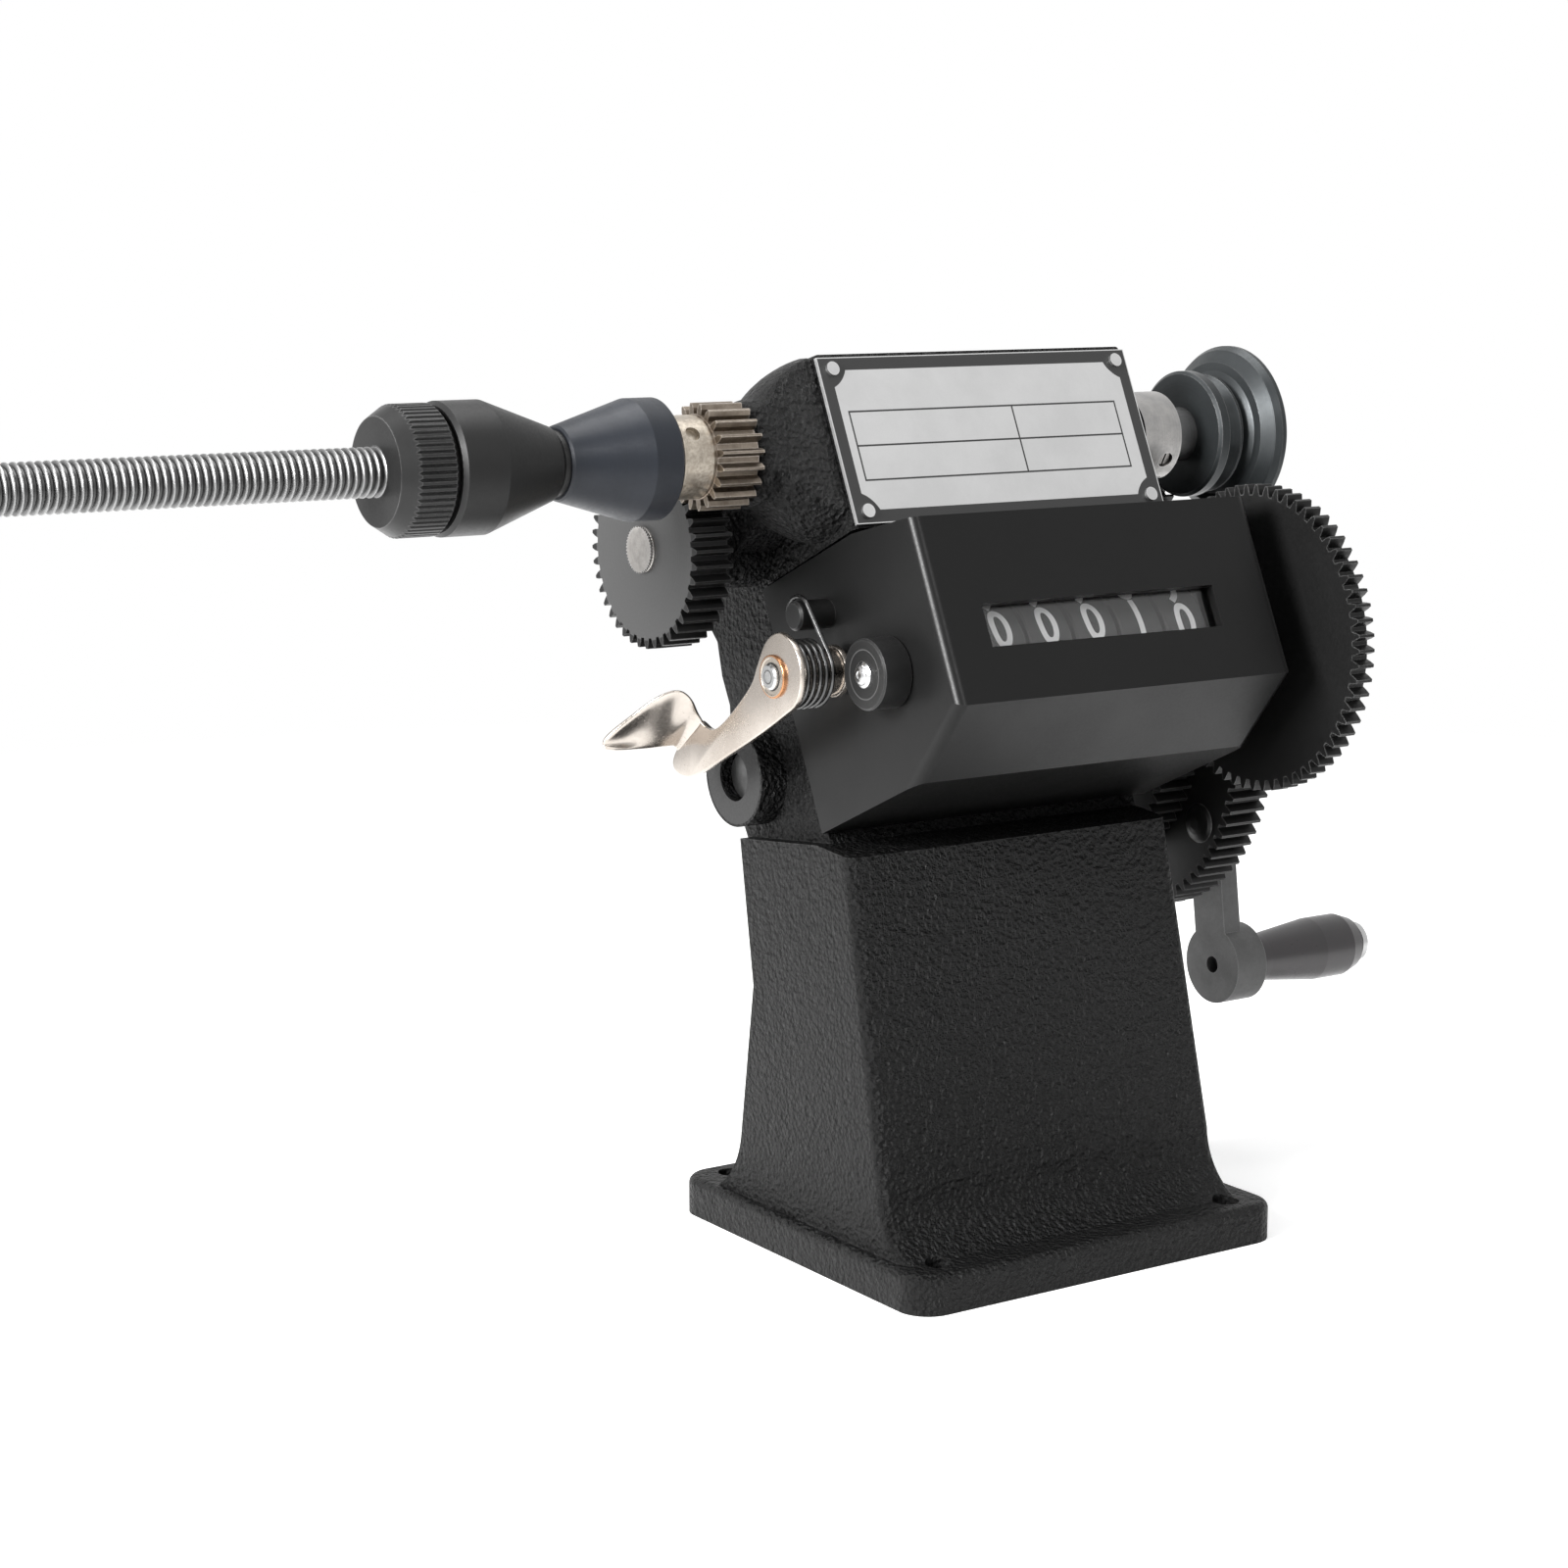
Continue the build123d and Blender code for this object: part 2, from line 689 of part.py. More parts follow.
def make_crank_gear():
    gear = gear_x(crank, crank_teeth, crank_gear_left, crank_gear_width, crank_angle + 180)
    right = crank_gear_left + crank_gear_width
    gear -= rod_x(crank, crank_gear_left - 1, right + 1, crank_radius)
    place = polar(*crank, rivet_angle, rivet_reach)
    return gear - rod_x(place, crank_gear_left - 1, right + 1, rivet_radius - 2)


def make_gear_rivet():
    place = polar(*crank, rivet_angle, rivet_reach)
    left = crank_gear_left
    height = left - counter_gear_left - counter_gear_width - rivet_clearance
    dome = [(left - height, rivet_radius * 0.3), (left - height * 0.85, rivet_radius * 0.55),
            (left - height * 0.5, rivet_radius * 0.83), (left, rivet_radius)]
    return turned(place, dome) + rod_x(place, left, left + crank_gear_width, rivet_radius - 2)


def make_crank_pinion():
    left = crank_gear_left - crank_pinion_width
    gear = gear_x(crank, crank_pinion_teeth, left, crank_pinion_width, counter_angle)
    return gear - rod_x(crank, left - 1, crank_gear_left + 1, crank_radius)


# Layshaft group
def make_lay_gear():
    left = -lay_boss_face_left - gear_side_gap - lay_gear_width
    gear = gear_x(lay, lay_teeth, left, lay_gear_width, gap_at(lay_teeth, lay_angle + 180))
    return gear - rod_x(lay, left - 1, left + lay_gear_width + 1, lay_radius)


def make_lay_shaft():
    left = -lay_boss_face_left - gear_side_gap - lay_gear_width - lay_end
    line = [(left, lay_radius - 0.6), (left + 0.6, lay_radius), (lay_pinion_right - 0.4, lay_radius),
            (lay_pinion_right, lay_radius - 0.4)]
    return turned(lay, line)


def make_lay_pinion():
    left = lay_boss_face_right + gear_side_gap
    gear = gear_x(lay, lay_pinion_teeth, left, lay_pinion_right - left, gap_at(lay_pinion_teeth, crank_angle))
    return gear - rod_x(lay, left - 1, lay_pinion_right + 1, lay_radius)


# Counter drive
def make_counter_gear():
    mesh = counter_angle + 180
    gear = gear_x(counter, counter_teeth, counter_gear_left, counter_gear_width, gap_at(counter_teeth, mesh))
    right = counter_gear_left + counter_gear_width
    return gear - rod_x(counter, counter_gear_left - 1, right + 1, counter_radius)


def make_counter_shaft():
    left = box_left - bushing_length - 0.8
    right = counter_gear_left + counter_gear_width
    return turned(counter, [(left, counter_radius - 0.7), (left + 0.5, counter_radius),
                            (right - 0.3, counter_radius), (right, counter_radius - 0.3)])


def make_bushing(left, right):
    ring = tube_x(counter, left, right, bushing_radius, counter_radius + running_clearance)
    outer = [e for e in ring.edges().filter_by(GeomType.CIRCLE) if abs(e.radius - bushing_radius) < 0.01]
    return chamfer(outer, 0.4)


# Name plate
plate_length = 2 * (head_half_width - plate_margin)
plate_middle = box_back_v + box_gap + 0.6 + plate_height / 2


def make_plate():
    front = pad_setback - plate_thickness
    half = plate_height / 2
    plate = slab(front, pad_setback, -plate_length / 2, plate_length / 2, plate_middle - half, plate_middle + half)
    for x, v in rivet_places():
        plate -= slab_rod(x, v, front - 1, pad_setback + 1, plate_rivet_radius - 0.5)
    return plate


def rivet_places():
    half_x = plate_length / 2 - plate_rivet_inset_x
    half_v = plate_height / 2 - plate_rivet_inset_v
    return [(x, plate_middle + v) for x in (-half_x, half_x) for v in (-half_v, half_v)]


def slab_rod(x, v, u_front, u_back, radius):
    start = uv(u_front, v)
    end = uv(u_back, v)
    inward = (0, end[0] - start[0], end[1] - start[1])
    seat = Plane(origin=(x, start[0], start[1]), x_dir=(1, 0, 0), z_dir=inward)
    return extrude(seat * Circle(radius), amount=u_back - u_front)


def make_plate_rivets():
    face = pad_setback - plate_thickness
    rivets = []
    for x, v in rivet_places():
        head = slab_rod(x, v, face - 0.7, face, plate_rivet_radius)
        rivets.append(head + slab_rod(x, v, face, pad_setback, plate_rivet_radius - 0.5))
    return Compound(rivets)


def make_set_screw(x, angle, radius):
    # a socket screw sunk just below the surface
    tip = polar(*spindle, angle, radius - 0.7)
    inward = (0, -math.cos(math.radians(angle)), -math.sin(math.radians(angle)))
    seat = Plane(origin=(x, tip[0], tip[1]), z_dir=inward)
    screw = extrude(seat * Circle(set_screw_radius), amount=1.8)
    return screw - extrude(seat.offset(-0.5) * Rectangle(4, 0.5), amount=1.1)


save(make_frame(), "frame_casting")
save(make_plate(), "name_plate")
save(make_plate_rivets(), "plate_rivets")
save(make_box(), "counter_box")
save(make_pane(), "counter_window")
save(make_bushing(box_left - bushing_length, box_left), "counter_bushing_left")
save(make_bushing(box_right, counter_gear_left - gear_side_gap), "counter_bushing_right")
save(make_lever_pin(), "lever_pin")
save(make_post(), "spring_post")
for index in range(wheel_count):
    save(make_wheel(index), "number_wheel_" + str(index + 1))
save(make_counter_shaft(), "counter_shaft")
save(make_counter_gear(), "counter_gear")

inner_left = pinion_left - pinion_hub_length - inner_cone_length
outer_right = inner_left - cone_gap
outer_left = outer_right - outer_cone_length
save(make_spindle_shaft(), "spindle_shaft")
save(make_spindle_pinion(), "spindle_pinion")
save(make_cone(inner_left, inner_left + inner_cone_length, inner_cone_rim, inner_cone_radius,
               cone_small_radius, False), "inner_cone")
save(make_cone(outer_left, outer_right, outer_cone_rim, outer_cone_radius, cone_small_radius, True), "outer_cone")
save(make_nut(outer_left - nut_length - 0.05), "clamp_nut")
save(make_collar(), "drive_collar")
save(make_set_screw(collar_right - 3.4, -150, collar_radius), "collar_set_screw")
save(make_pulley(), "belt_pulley")

save(make_lay_shaft(), "lay_shaft")
save(make_lay_gear(), "lay_gear")
save(make_lay_pinion(), "lay_pinion")

save(make_crank_shaft(), "crank_shaft")
save(make_crank_gear(), "crank_gear")
save(make_crank_pinion(), "crank_pinion")
save(make_gear_rivet(), "gear_rivet")
save(make_arm(), "crank_arm")
save(make_grip_pin(), "grip_pin")
save(make_grip(), "crank_grip")

save(make_lever(), "reset_lever")
save(make_spring(), "lever_spring")
print("shaft centres (y, z):", lay, crank, counter)
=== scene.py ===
import bpy
import math
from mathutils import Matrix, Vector


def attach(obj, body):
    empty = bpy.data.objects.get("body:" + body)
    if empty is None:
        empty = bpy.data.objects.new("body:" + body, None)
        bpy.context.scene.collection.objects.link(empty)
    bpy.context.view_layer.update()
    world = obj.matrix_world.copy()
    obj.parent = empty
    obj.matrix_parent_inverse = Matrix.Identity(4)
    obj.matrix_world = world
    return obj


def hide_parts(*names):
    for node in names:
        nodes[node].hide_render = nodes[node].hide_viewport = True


# Looks for a hand-cranked coil winder. Metres, +X along the spindle to the right, +Z up.
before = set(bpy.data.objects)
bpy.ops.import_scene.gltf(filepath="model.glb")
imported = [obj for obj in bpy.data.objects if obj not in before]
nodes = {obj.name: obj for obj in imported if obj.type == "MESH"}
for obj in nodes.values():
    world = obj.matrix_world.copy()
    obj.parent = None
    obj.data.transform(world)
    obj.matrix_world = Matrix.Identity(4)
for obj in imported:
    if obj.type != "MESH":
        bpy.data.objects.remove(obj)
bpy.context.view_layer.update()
mm = 0.001
print("frame loaded:", len(nodes), "nodes")

axes = {"spindle": (7.0, 173.5), "lay": (28.7252, 152.8114), "crank": (25.4985, 102.9156),
        "counter": (-25.7654, 131.0982), "lever": (-8.3, 129.5), "grip": (17.794, 45.934)}


# helpers for shader nodes
def feed(tree, socket, value):
    # links another socket, or sets a plain value
    if isinstance(value, bpy.types.NodeSocket):
        tree.links.new(value, socket)
    else:
        socket.default_value = value


def place(tree, kind, **inputs):
    made = tree.nodes.new(kind)
    for key, value in inputs.items():
        feed(tree, made.inputs[key], value)
    return made


def calc(tree, operation, a, b=0.0):
    made = tree.nodes.new("ShaderNodeMath")
    made.operation = operation
    for socket, value in zip(made.inputs, (a, b)):
        feed(tree, socket, value)
    return made.outputs[0]


def between(tree, value, low, high):
    # 1 between low and high, 0 outside
    above = calc(tree, "GREATER_THAN", value, low)
    return calc(tree, "MULTIPLY", above, calc(tree, "LESS_THAN", value, high))


def blendColour(tree, share, first, second):
    made = tree.nodes.new("ShaderNodeMix")
    made.data_type = "RGBA"
    for index, value in ((0, share), (6, first), (7, second)):
        feed(tree, made.inputs[index], value)
    return made.outputs[2]


def ramp(tree, value, low, high, toLow=0.0, toHigh=1.0):
    made = place(tree, "ShaderNodeMapRange", Value=value)
    made.inputs["From Min"].default_value = low
    made.inputs["From Max"].default_value = high
    feed(tree, made.inputs["To Min"], toLow)
    feed(tree, made.inputs["To Max"], toHigh)
    return made.outputs[0]


def newGroup(name, inputs, outputs):
    group = bpy.data.node_groups.new(name, "ShaderNodeTree")
    for label, kind, value in inputs:
        socket = group.interface.new_socket(name=label, in_out="INPUT", socket_type=kind)
        socket.default_value = value
    for label, kind in outputs:
        group.interface.new_socket(name=label, in_out="OUTPUT", socket_type=kind)
    return group, group.nodes.new("NodeGroupInput").outputs, group.nodes.new("NodeGroupOutput").inputs


def useGroup(tree, group, **inputs):
    made = tree.nodes.new("ShaderNodeGroup")
    made.node_tree = group
    for key, value in inputs.items():
        feed(tree, made.inputs[key], value)
    return made.outputs


def objectPlace(tree):
    return tree.nodes.new("ShaderNodeTexCoord").outputs["Object"]


def inMillimetres(tree):
    split = place(tree, "ShaderNodeSeparateXYZ", Vector=objectPlace(tree))
    return (calc(tree, "MULTIPLY", split.outputs[i], 1 / mm) for i in range(3))


def wayItFaces(tree):
    normal = tree.nodes.new("ShaderNodeNewGeometry").outputs["True Normal"]
    return place(tree, "ShaderNodeSeparateXYZ", Vector=normal)


def seenRay(tree):
    # 1 for rays that should meet the white background
    path = tree.nodes.new("ShaderNodeLightPath").outputs
    mirrored = calc(tree, "ADD", path["Is Glossy Ray"], path["Is Transmission Ray"])
    return calc(tree, "MINIMUM", 1.0, calc(tree, "ADD", path["Is Camera Ray"], mirrored))


def distanceFrom(tree, a, b):
    return calc(tree, "SQRT", calc(tree, "ADD", calc(tree, "MULTIPLY", a, a), calc(tree, "MULTIPLY", b, b)))


def grey(level, warm=0.0):
    return (level * (1 + warm), level, level * (1 - warm), 1.0)


# shared effects
number, colour = "NodeSocketFloat", "NodeSocketColor"
wear = {"edgeReach": 0.45, "edgeGloss": 0.1}


def makeWear():
    # blotches, fine grain and rubbed edges; sizes are in millimetres
    group, given, out = newGroup("surfaceWear", [
        ("Colour", colour, grey(0.1)), ("Deep", colour, grey(0.05)), ("Worn", colour, grey(0.4)),
        ("Grain", number, 0.6), ("Blotch", number, 12.0), ("Edge", number, 0.5), ("Spread", number, 0.6),
        ("RoughLow", number, 0.3), ("RoughHigh", number, 0.5)],
        [("Colour", colour), ("Roughness", number), ("Height", number)])
    where = objectPlace(group)
    large = place(group, "ShaderNodeTexNoise", Vector=where, Detail=5.0, Roughness=0.6,
                  Scale=calc(group, "DIVIDE", 1 / mm, given["Blotch"]))
    fine = place(group, "ShaderNodeTexNoise", Vector=where, Detail=3.0, Roughness=0.6,
                 Scale=calc(group, "DIVIDE", 1 / mm, given["Grain"]))
    patches = ramp(group, large.outputs[0], 0.38, 0.66)
    rounded = group.nodes.new("ShaderNodeBevel")
    rounded.samples = 4
    rounded.inputs["Radius"].default_value = wear["edgeReach"] * mm
    facing = group.nodes.new("ShaderNodeVectorMath")
    facing.operation = "DOT_PRODUCT"
    group.links.new(rounded.outputs[0], facing.inputs[0])
    group.links.new(group.nodes.new("ShaderNodeNewGeometry").outputs["True Normal"], facing.inputs[1])
    corner = ramp(group, calc(group, "SUBTRACT", 1.0, facing.outputs["Value"]), 0.03, 0.2)
    broken = ramp(group, calc(group, "ADD", fine.outputs[0], large.outputs[0]), 0.75, 1.15, 0.25, 1.0)
    rubbed = calc(group, "MULTIPLY", calc(group, "MULTIPLY", corner, broken), given["Edge"])
    shade = blendColour(group, calc(group, "MULTIPLY", patches, given["Spread"]),
                        given["Colour"], given["Deep"])
    speck = ramp(group, fine.outputs[0], 0.3, 0.75, 0.0, 0.35)
    shade = blendColour(group, calc(group, "MULTIPLY", speck, given["Spread"]), shade, given["Deep"])
    group.links.new(blendColour(group, rubbed, shade, given["Worn"]), out["Colour"])
    mixed = calc(group, "ADD", calc(group, "MULTIPLY", large.outputs[0], 0.5),
                 calc(group, "MULTIPLY", fine.outputs[0], 0.5))
    rough = ramp(group, mixed, 0.35, 0.65, given["RoughLow"], given["RoughHigh"])
    polish = calc(group, "MULTIPLY", rubbed, wear["edgeGloss"])
    group.links.new(calc(group, "SUBTRACT", rough, polish), out["Roughness"])
    group.links.new(mixed, out["Height"])
    return group


def makeTurned():
    # fine rings left by a lathe, about an axis along X; Distance is out from it
    group, given, out = newGroup("turnedMarks", [("CentreY", number, 0.0), ("CentreZ", number, 0.0),
                                                 ("Ring", number, 0.35)],
                                 [("Height", number), ("Tone", number), ("Distance", number),
                                  ("X", number)])
    x, y, z = inMillimetres(group)
    away = distanceFrom(group, calc(group, "SUBTRACT", y, given["CentreY"]),
                        calc(group, "SUBTRACT", z, given["CentreZ"]))
    rings = place(group, "ShaderNodeCombineXYZ", X=calc(group, "DIVIDE", x, given["Ring"]),
                  Y=calc(group, "DIVIDE", away, given["Ring"]))
    lines = place(group, "ShaderNodeTexNoise", Vector=rings.outputs[0], Scale=1.0, Detail=2.0)
    group.links.new(lines.outputs[0], out["Height"])
    group.links.new(ramp(group, lines.outputs[0], 0.3, 0.7), out["Tone"])
    group.links.new(away, out["Distance"])
    group.links.new(x, out["X"])
    return group


surfaceWear = makeWear()
turnedMarks = makeTurned()
print("shared effects built")


# finishes
def newFinish(name, metallic=0.0, coat=0.0, bump=0.2, depth=0.1, gloss=0.5):
    material = bpy.data.materials.new(name)
    material.use_nodes = True
    tree = material.node_tree
    shader = tree.nodes["Principled BSDF"]
    shader.inputs["Metallic"].default_value = metallic
    shader.inputs["Coat Weight"].default_value = coat
    shader.inputs["Coat Roughness"].default_value = 0.12
    shader.inputs["Specular IOR Level"].default_value = gloss
    lift = tree.nodes.new("ShaderNodeBump")
    lift.inputs["Strength"].default_value = bump
    lift.inputs["Distance"].default_value = depth * mm
    tree.links.new(lift.outputs[0], shader.inputs["Normal"])
    return material, tree, shader, lift.inputs["Height"]


def plainFinish(name, look):
    material, tree, shader, height = newFinish(name, look.get("metallic", 0.0), look.get("coat", 0.0),
                                               look.get("bump", 0.2), look.get("depth", 0.1),
                                               look.get("gloss", 0.5))
    worn = useGroup(tree, surfaceWear, Colour=look["colour"], Deep=look["deep"], Worn=look["worn"],
                    Grain=look.get("grain", 0.6), Blotch=look.get("blotch", 12.0),
                    Edge=look.get("edge", 0.5),
                    Spread=look.get("spread", 0.6), RoughLow=look["rough"][0], RoughHigh=look["rough"][1])
    shade, rise = worn["Colour"], worn["Height"]
    if "axis" in look:
        y, z = axes[look["axis"]]
        marks = useGroup(tree, turnedMarks, CentreY=y, CentreZ=z)
        rise = calc(tree, "ADD", calc(tree, "MULTIPLY", rise, 0.4),
                    calc(tree, "MULTIPLY", marks["Height"], 0.6))
        share = calc(tree, "MULTIPLY", marks["Tone"], look.get("lines", 0.25))
        shade = blendColour(tree, share, shade, look["deep"])
        if "sleeve" in look:
            # a part of the length in another tone
            low, high, tone = look["sleeve"]
            stained = ramp(tree, worn["Height"], 0.4, 0.62, 0.35, 1.0)
            share = calc(tree, "MULTIPLY", between(tree, marks["X"], low, high), stained)
            shade = blendColour(tree, share, shade, tone)
        if "valleyShade" in look:
            # painted shade: dark low down in the thread valleys, bright at the thread tips
            low, high, tone = look["valleyShade"]
            shade = blendColour(tree, ramp(tree, marks["Distance"], low, high), tone, shade)
        for low, high, tone in look.get("bands", []):
            shade = blendColour(tree, between(tree, marks["Distance"], low, high), shade, tone)
        if "face" in look:
            # the flat side of a gear has its own tone, inside the teeth
            limit, tone = look["face"]
            inside = calc(tree, "LESS_THAN", marks["Distance"], limit)
            flat = calc(tree, "GREATER_THAN", calc(tree, "ABSOLUTE", wayItFaces(tree).outputs[0]), 0.9)
            shade = blendColour(tree, calc(tree, "MULTIPLY", inside, flat), shade, tone)
    tree.links.new(shade, shader.inputs["Base Color"])
    tree.links.new(worn["Roughness"], shader.inputs["Roughness"])
    tree.links.new(rise, height)
    return material


looks = {
    "threadSteel": {"colour": grey(0.26), "deep": grey(0.1), "worn": grey(0.6), "rough": (0.36, 0.52),
                    "metallic": 1.0, "axis": "spindle", "edge": 0.8, "blotch": 7.0, "bump": 0.15,
                    # the last entry paints shade into the thread valleys
                    "valleyShade": (4.2, 4.85, grey(0.07))},
    "oiledSteel": {"colour": grey(0.24, 0.17), "deep": grey(0.06, 0.3), "worn": grey(0.75, 0.1),
                   "rough": (0.28, 0.46), "metallic": 1.0, "axis": "spindle", "edge": 0.9, "blotch": 4.0,
                   "sleeve": (-79.0, -69.9, (0.5, 0.45, 0.38, 1))},
    "slateSteel": {"colour": (0.014, 0.0165, 0.022, 1), "deep": (0.009, 0.0105, 0.014, 1),
                   "worn": grey(0.12), "rough": (0.34, 0.5), "metallic": 0.1, "axis": "spindle",
                   "edge": 0.35, "blotch": 9.0, "gloss": 0.26},
    "coneBlack": {"colour": grey(0.011), "deep": grey(0.006), "worn": grey(0.13), "rough": (0.34, 0.5),
                  "metallic": 0.1, "axis": "spindle", "edge": 0.35, "gloss": 0.25},
    "nutBlack": {"colour": grey(0.013), "deep": grey(0.007), "worn": grey(0.15), "rough": (0.3, 0.46),
                 "metallic": 0.2, "axis": "spindle", "lines": 0.2, "edge": 0.9, "grain": 0.4,
                 "gloss": 0.26},
    "zinc": {"colour": grey(0.38, 0.03), "deep": grey(0.2), "worn": grey(0.75), "rough": (0.26, 0.42),
             "metallic": 1.0, "axis": "spindle", "edge": 0.5, "blotch": 4.0},
    "screwSteel": {"colour": grey(0.3, 0.05), "deep": grey(0.1), "worn": grey(0.6), "rough": (0.3, 0.45),
                   "metallic": 1.0, "edge": 0.6},
    "pulleyGrey": {"colour": (0.032, 0.036, 0.038, 1), "deep": (0.014, 0.016, 0.017, 1), "worn": grey(0.34),
                   "rough": (0.3, 0.46), "metallic": 0.6, "axis": "spindle", "edge": 0.7, "lines": 0.4},
    "layGearBlack": {"colour": grey(0.009), "deep": grey(0.004), "worn": grey(0.14), "rough": (0.32, 0.48),
                     "metallic": 0.3, "axis": "lay", "edge": 0.7, "face": (19.2, grey(0.05)), "gloss": 0.3},
    "crankGearBlack": {"colour": grey(0.009), "deep": grey(0.005), "worn": grey(0.16),
                       "rough": (0.32, 0.48), "metallic": 0.3, "axis": "crank", "edge": 0.8, "gloss": 0.3},
    "counterGearBlack": {"colour": grey(0.008), "deep": grey(0.004), "worn": grey(0.16),
                         "rough": (0.3, 0.46), "metallic": 0.3, "axis": "counter", "edge": 0.8,
                         "gloss": 0.3},
    "layShaftBright": {"colour": grey(0.36, 0.05), "deep": grey(0.22, 0.05), "worn": grey(0.7),
                       "rough": (0.3, 0.44), "metallic": 1.0, "axis": "lay",
                       "bands": [(3.9, 4.2, grey(0.1, 0.1))]},
    "serratedBright": {"colour": grey(0.42, 0.05), "deep": grey(0.2, 0.05), "worn": grey(0.8),
                       "rough": (0.26, 0.4), "metallic": 1.0, "axis": "lay", "edge": 0.8, "blotch": 2.0},
    "crankShaftSteel": {"colour": grey(0.16), "deep": grey(0.05), "worn": grey(0.5), "rough": (0.3, 0.5),
                        "metallic": 1.0, "axis": "crank", "blotch": 4.0},
    "counterShaftBright": {"colour": grey(0.55), "deep": grey(0.32), "worn": grey(0.85),
                           "rough": (0.16, 0.3), "metallic": 1.0, "axis": "counter", "blotch": 2.5,
                           "bump": 0.35},
    "bushingBlack": {"colour": grey(0.012), "deep": grey(0.006), "worn": grey(0.16), "rough": (0.32, 0.46),
                     "metallic": 0.2, "axis": "counter", "edge": 0.5, "gloss": 0.35,
                     "bands": [(4.9, 5.15, grey(0.05))]},
    "postBlack": {"colour": grey(0.01), "deep": grey(0.005), "worn": grey(0.14), "rough": (0.32, 0.46),
                  "metallic": 0.2, "edge": 0.5, "gloss": 0.35},
    "leverNickel": {"colour": (0.47, 0.43, 0.39, 1), "deep": (0.31, 0.27, 0.235, 1),
                    "worn": (0.78, 0.72, 0.65, 1), "rough": (0.2, 0.32), "metallic": 1.0, "edge": 0.5,
                    "blotch": 16.0, "bump": 0.06},
    "washerNickel": {"colour": (0.47, 0.43, 0.385, 1), "deep": (0.32, 0.27, 0.22, 1),
                     "worn": (0.8, 0.72, 0.6, 1), "rough": (0.22, 0.34), "metallic": 1.0, "axis": "lever",
                     "edge": 0.4, "bands": [(4.12, 4.7, (0.4, 0.2, 0.1, 1)), (2.7, 2.95, grey(0.05))]},
    "pinBright": {"colour": grey(0.5), "deep": grey(0.3), "worn": grey(0.85), "rough": (0.2, 0.34),
                  "metallic": 1.0, "axis": "lever", "blotch": 2.0, "bands": [(1.2, 1.5, grey(0.16))]},
    "springSteel": {"colour": grey(0.11), "deep": grey(0.04), "worn": grey(0.4), "rough": (0.24, 0.38),
                    "metallic": 1.0, "blotch": 3.0},
    "crankGrey": {"colour": grey(0.085), "deep": grey(0.045), "worn": grey(0.24), "rough": (0.38, 0.55),
                  "metallic": 0.2, "edge": 0.6, "blotch": 10.0, "gloss": 0.4},
    "gripBlack": {"colour": (0.014, 0.01, 0.012, 1), "deep": grey(0.006), "worn": grey(0.05),
                  "rough": (0.26, 0.4), "coat": 0.2, "edge": 0.3, "bump": 0.08},
    "gripPinSteel": {"colour": grey(0.5), "deep": grey(0.3), "worn": grey(0.8), "rough": (0.24, 0.4),
                     "metallic": 1.0, "axis": "grip"},
    "boxGloss": {"colour": grey(0.0055), "deep": grey(0.0035), "worn": grey(0.07), "rough": (0.28, 0.42),
                 "edge": 0.05, "bump": 0.06, "blotch": 20.0, "gloss": 0.16},
    "wheelBlack": {"colour": grey(0.012), "deep": grey(0.007), "worn": grey(0.05), "rough": (0.4, 0.55),
                   "edge": 0.2},
    "rivetPale": {"colour": grey(0.6), "deep": grey(0.42), "worn": grey(0.85), "rough": (0.26, 0.4),
                  "metallic": 1.0},
    "digitWhite": {"colour": grey(0.78), "deep": grey(0.6), "worn": grey(0.85), "rough": (0.45, 0.6),
                   "edge": 0.1},
}
finishOf = {
    "spindle_shaft": "threadSteel", "spindle_pinion": "oiledSteel", "inner_cone": "slateSteel",
    "outer_cone": "coneBlack", "clamp_nut": "nutBlack", "drive_collar": "zinc",
    "collar_set_screw": "screwSteel", "belt_pulley": "pulleyGrey", "lay_gear": "layGearBlack",
    "lay_pinion": "layGearBlack", "lay_shaft": "layShaftBright", "crank_gear": "crankGearBlack",
    "crank_pinion": "crankGearBlack", "gear_rivet": "crankGearBlack", "counter_gear": "counterGearBlack",
    "counter_shaft": "counterShaftBright", "counter_bushing_left": "bushingBlack",
    "counter_bushing_right": "bushingBlack", "spring_post": "postBlack", "lever_pin": "pinBright",
    "reset_lever": "leverNickel", "lever_spring": "springSteel", "crank_shaft": "crankShaftSteel",
    "crank_arm": "crankGrey", "crank_grip": "gripBlack", "grip_pin": "gripPinSteel",
    "counter_box": "boxGloss", "plate_rivets": "rivetPale", "frame_casting": "sandCastBlack",
    "name_plate": "plateSilver", "counter_window": "windowClear"}
for index in range(1, 6):
    finishOf["number_wheel_" + str(index)] = "wheelBlack"
finishes = {name: plainFinish(name, look) for name, look in looks.items()}


# the lighter colour for the lumps' high points, and its share, are a painted highlight
casting = {"lump": 2.1, "sand": 0.75, "pit": 1.2, "pitDepth": 0.4, "bumpDepth": 2.0, "gloss": 0.13,
           "paint": grey(0.005), "deep": grey(0.002), "worn": grey(0.04), "crest": grey(0.016),
           "crestShare": 0.5, "rough": (0.3, 0.5), "machined": grey(0.028), "machinedDeep": grey(0.015),
           "machinedGloss": 0.12, "faceX": -47.7, "faceRadius": 10.4}


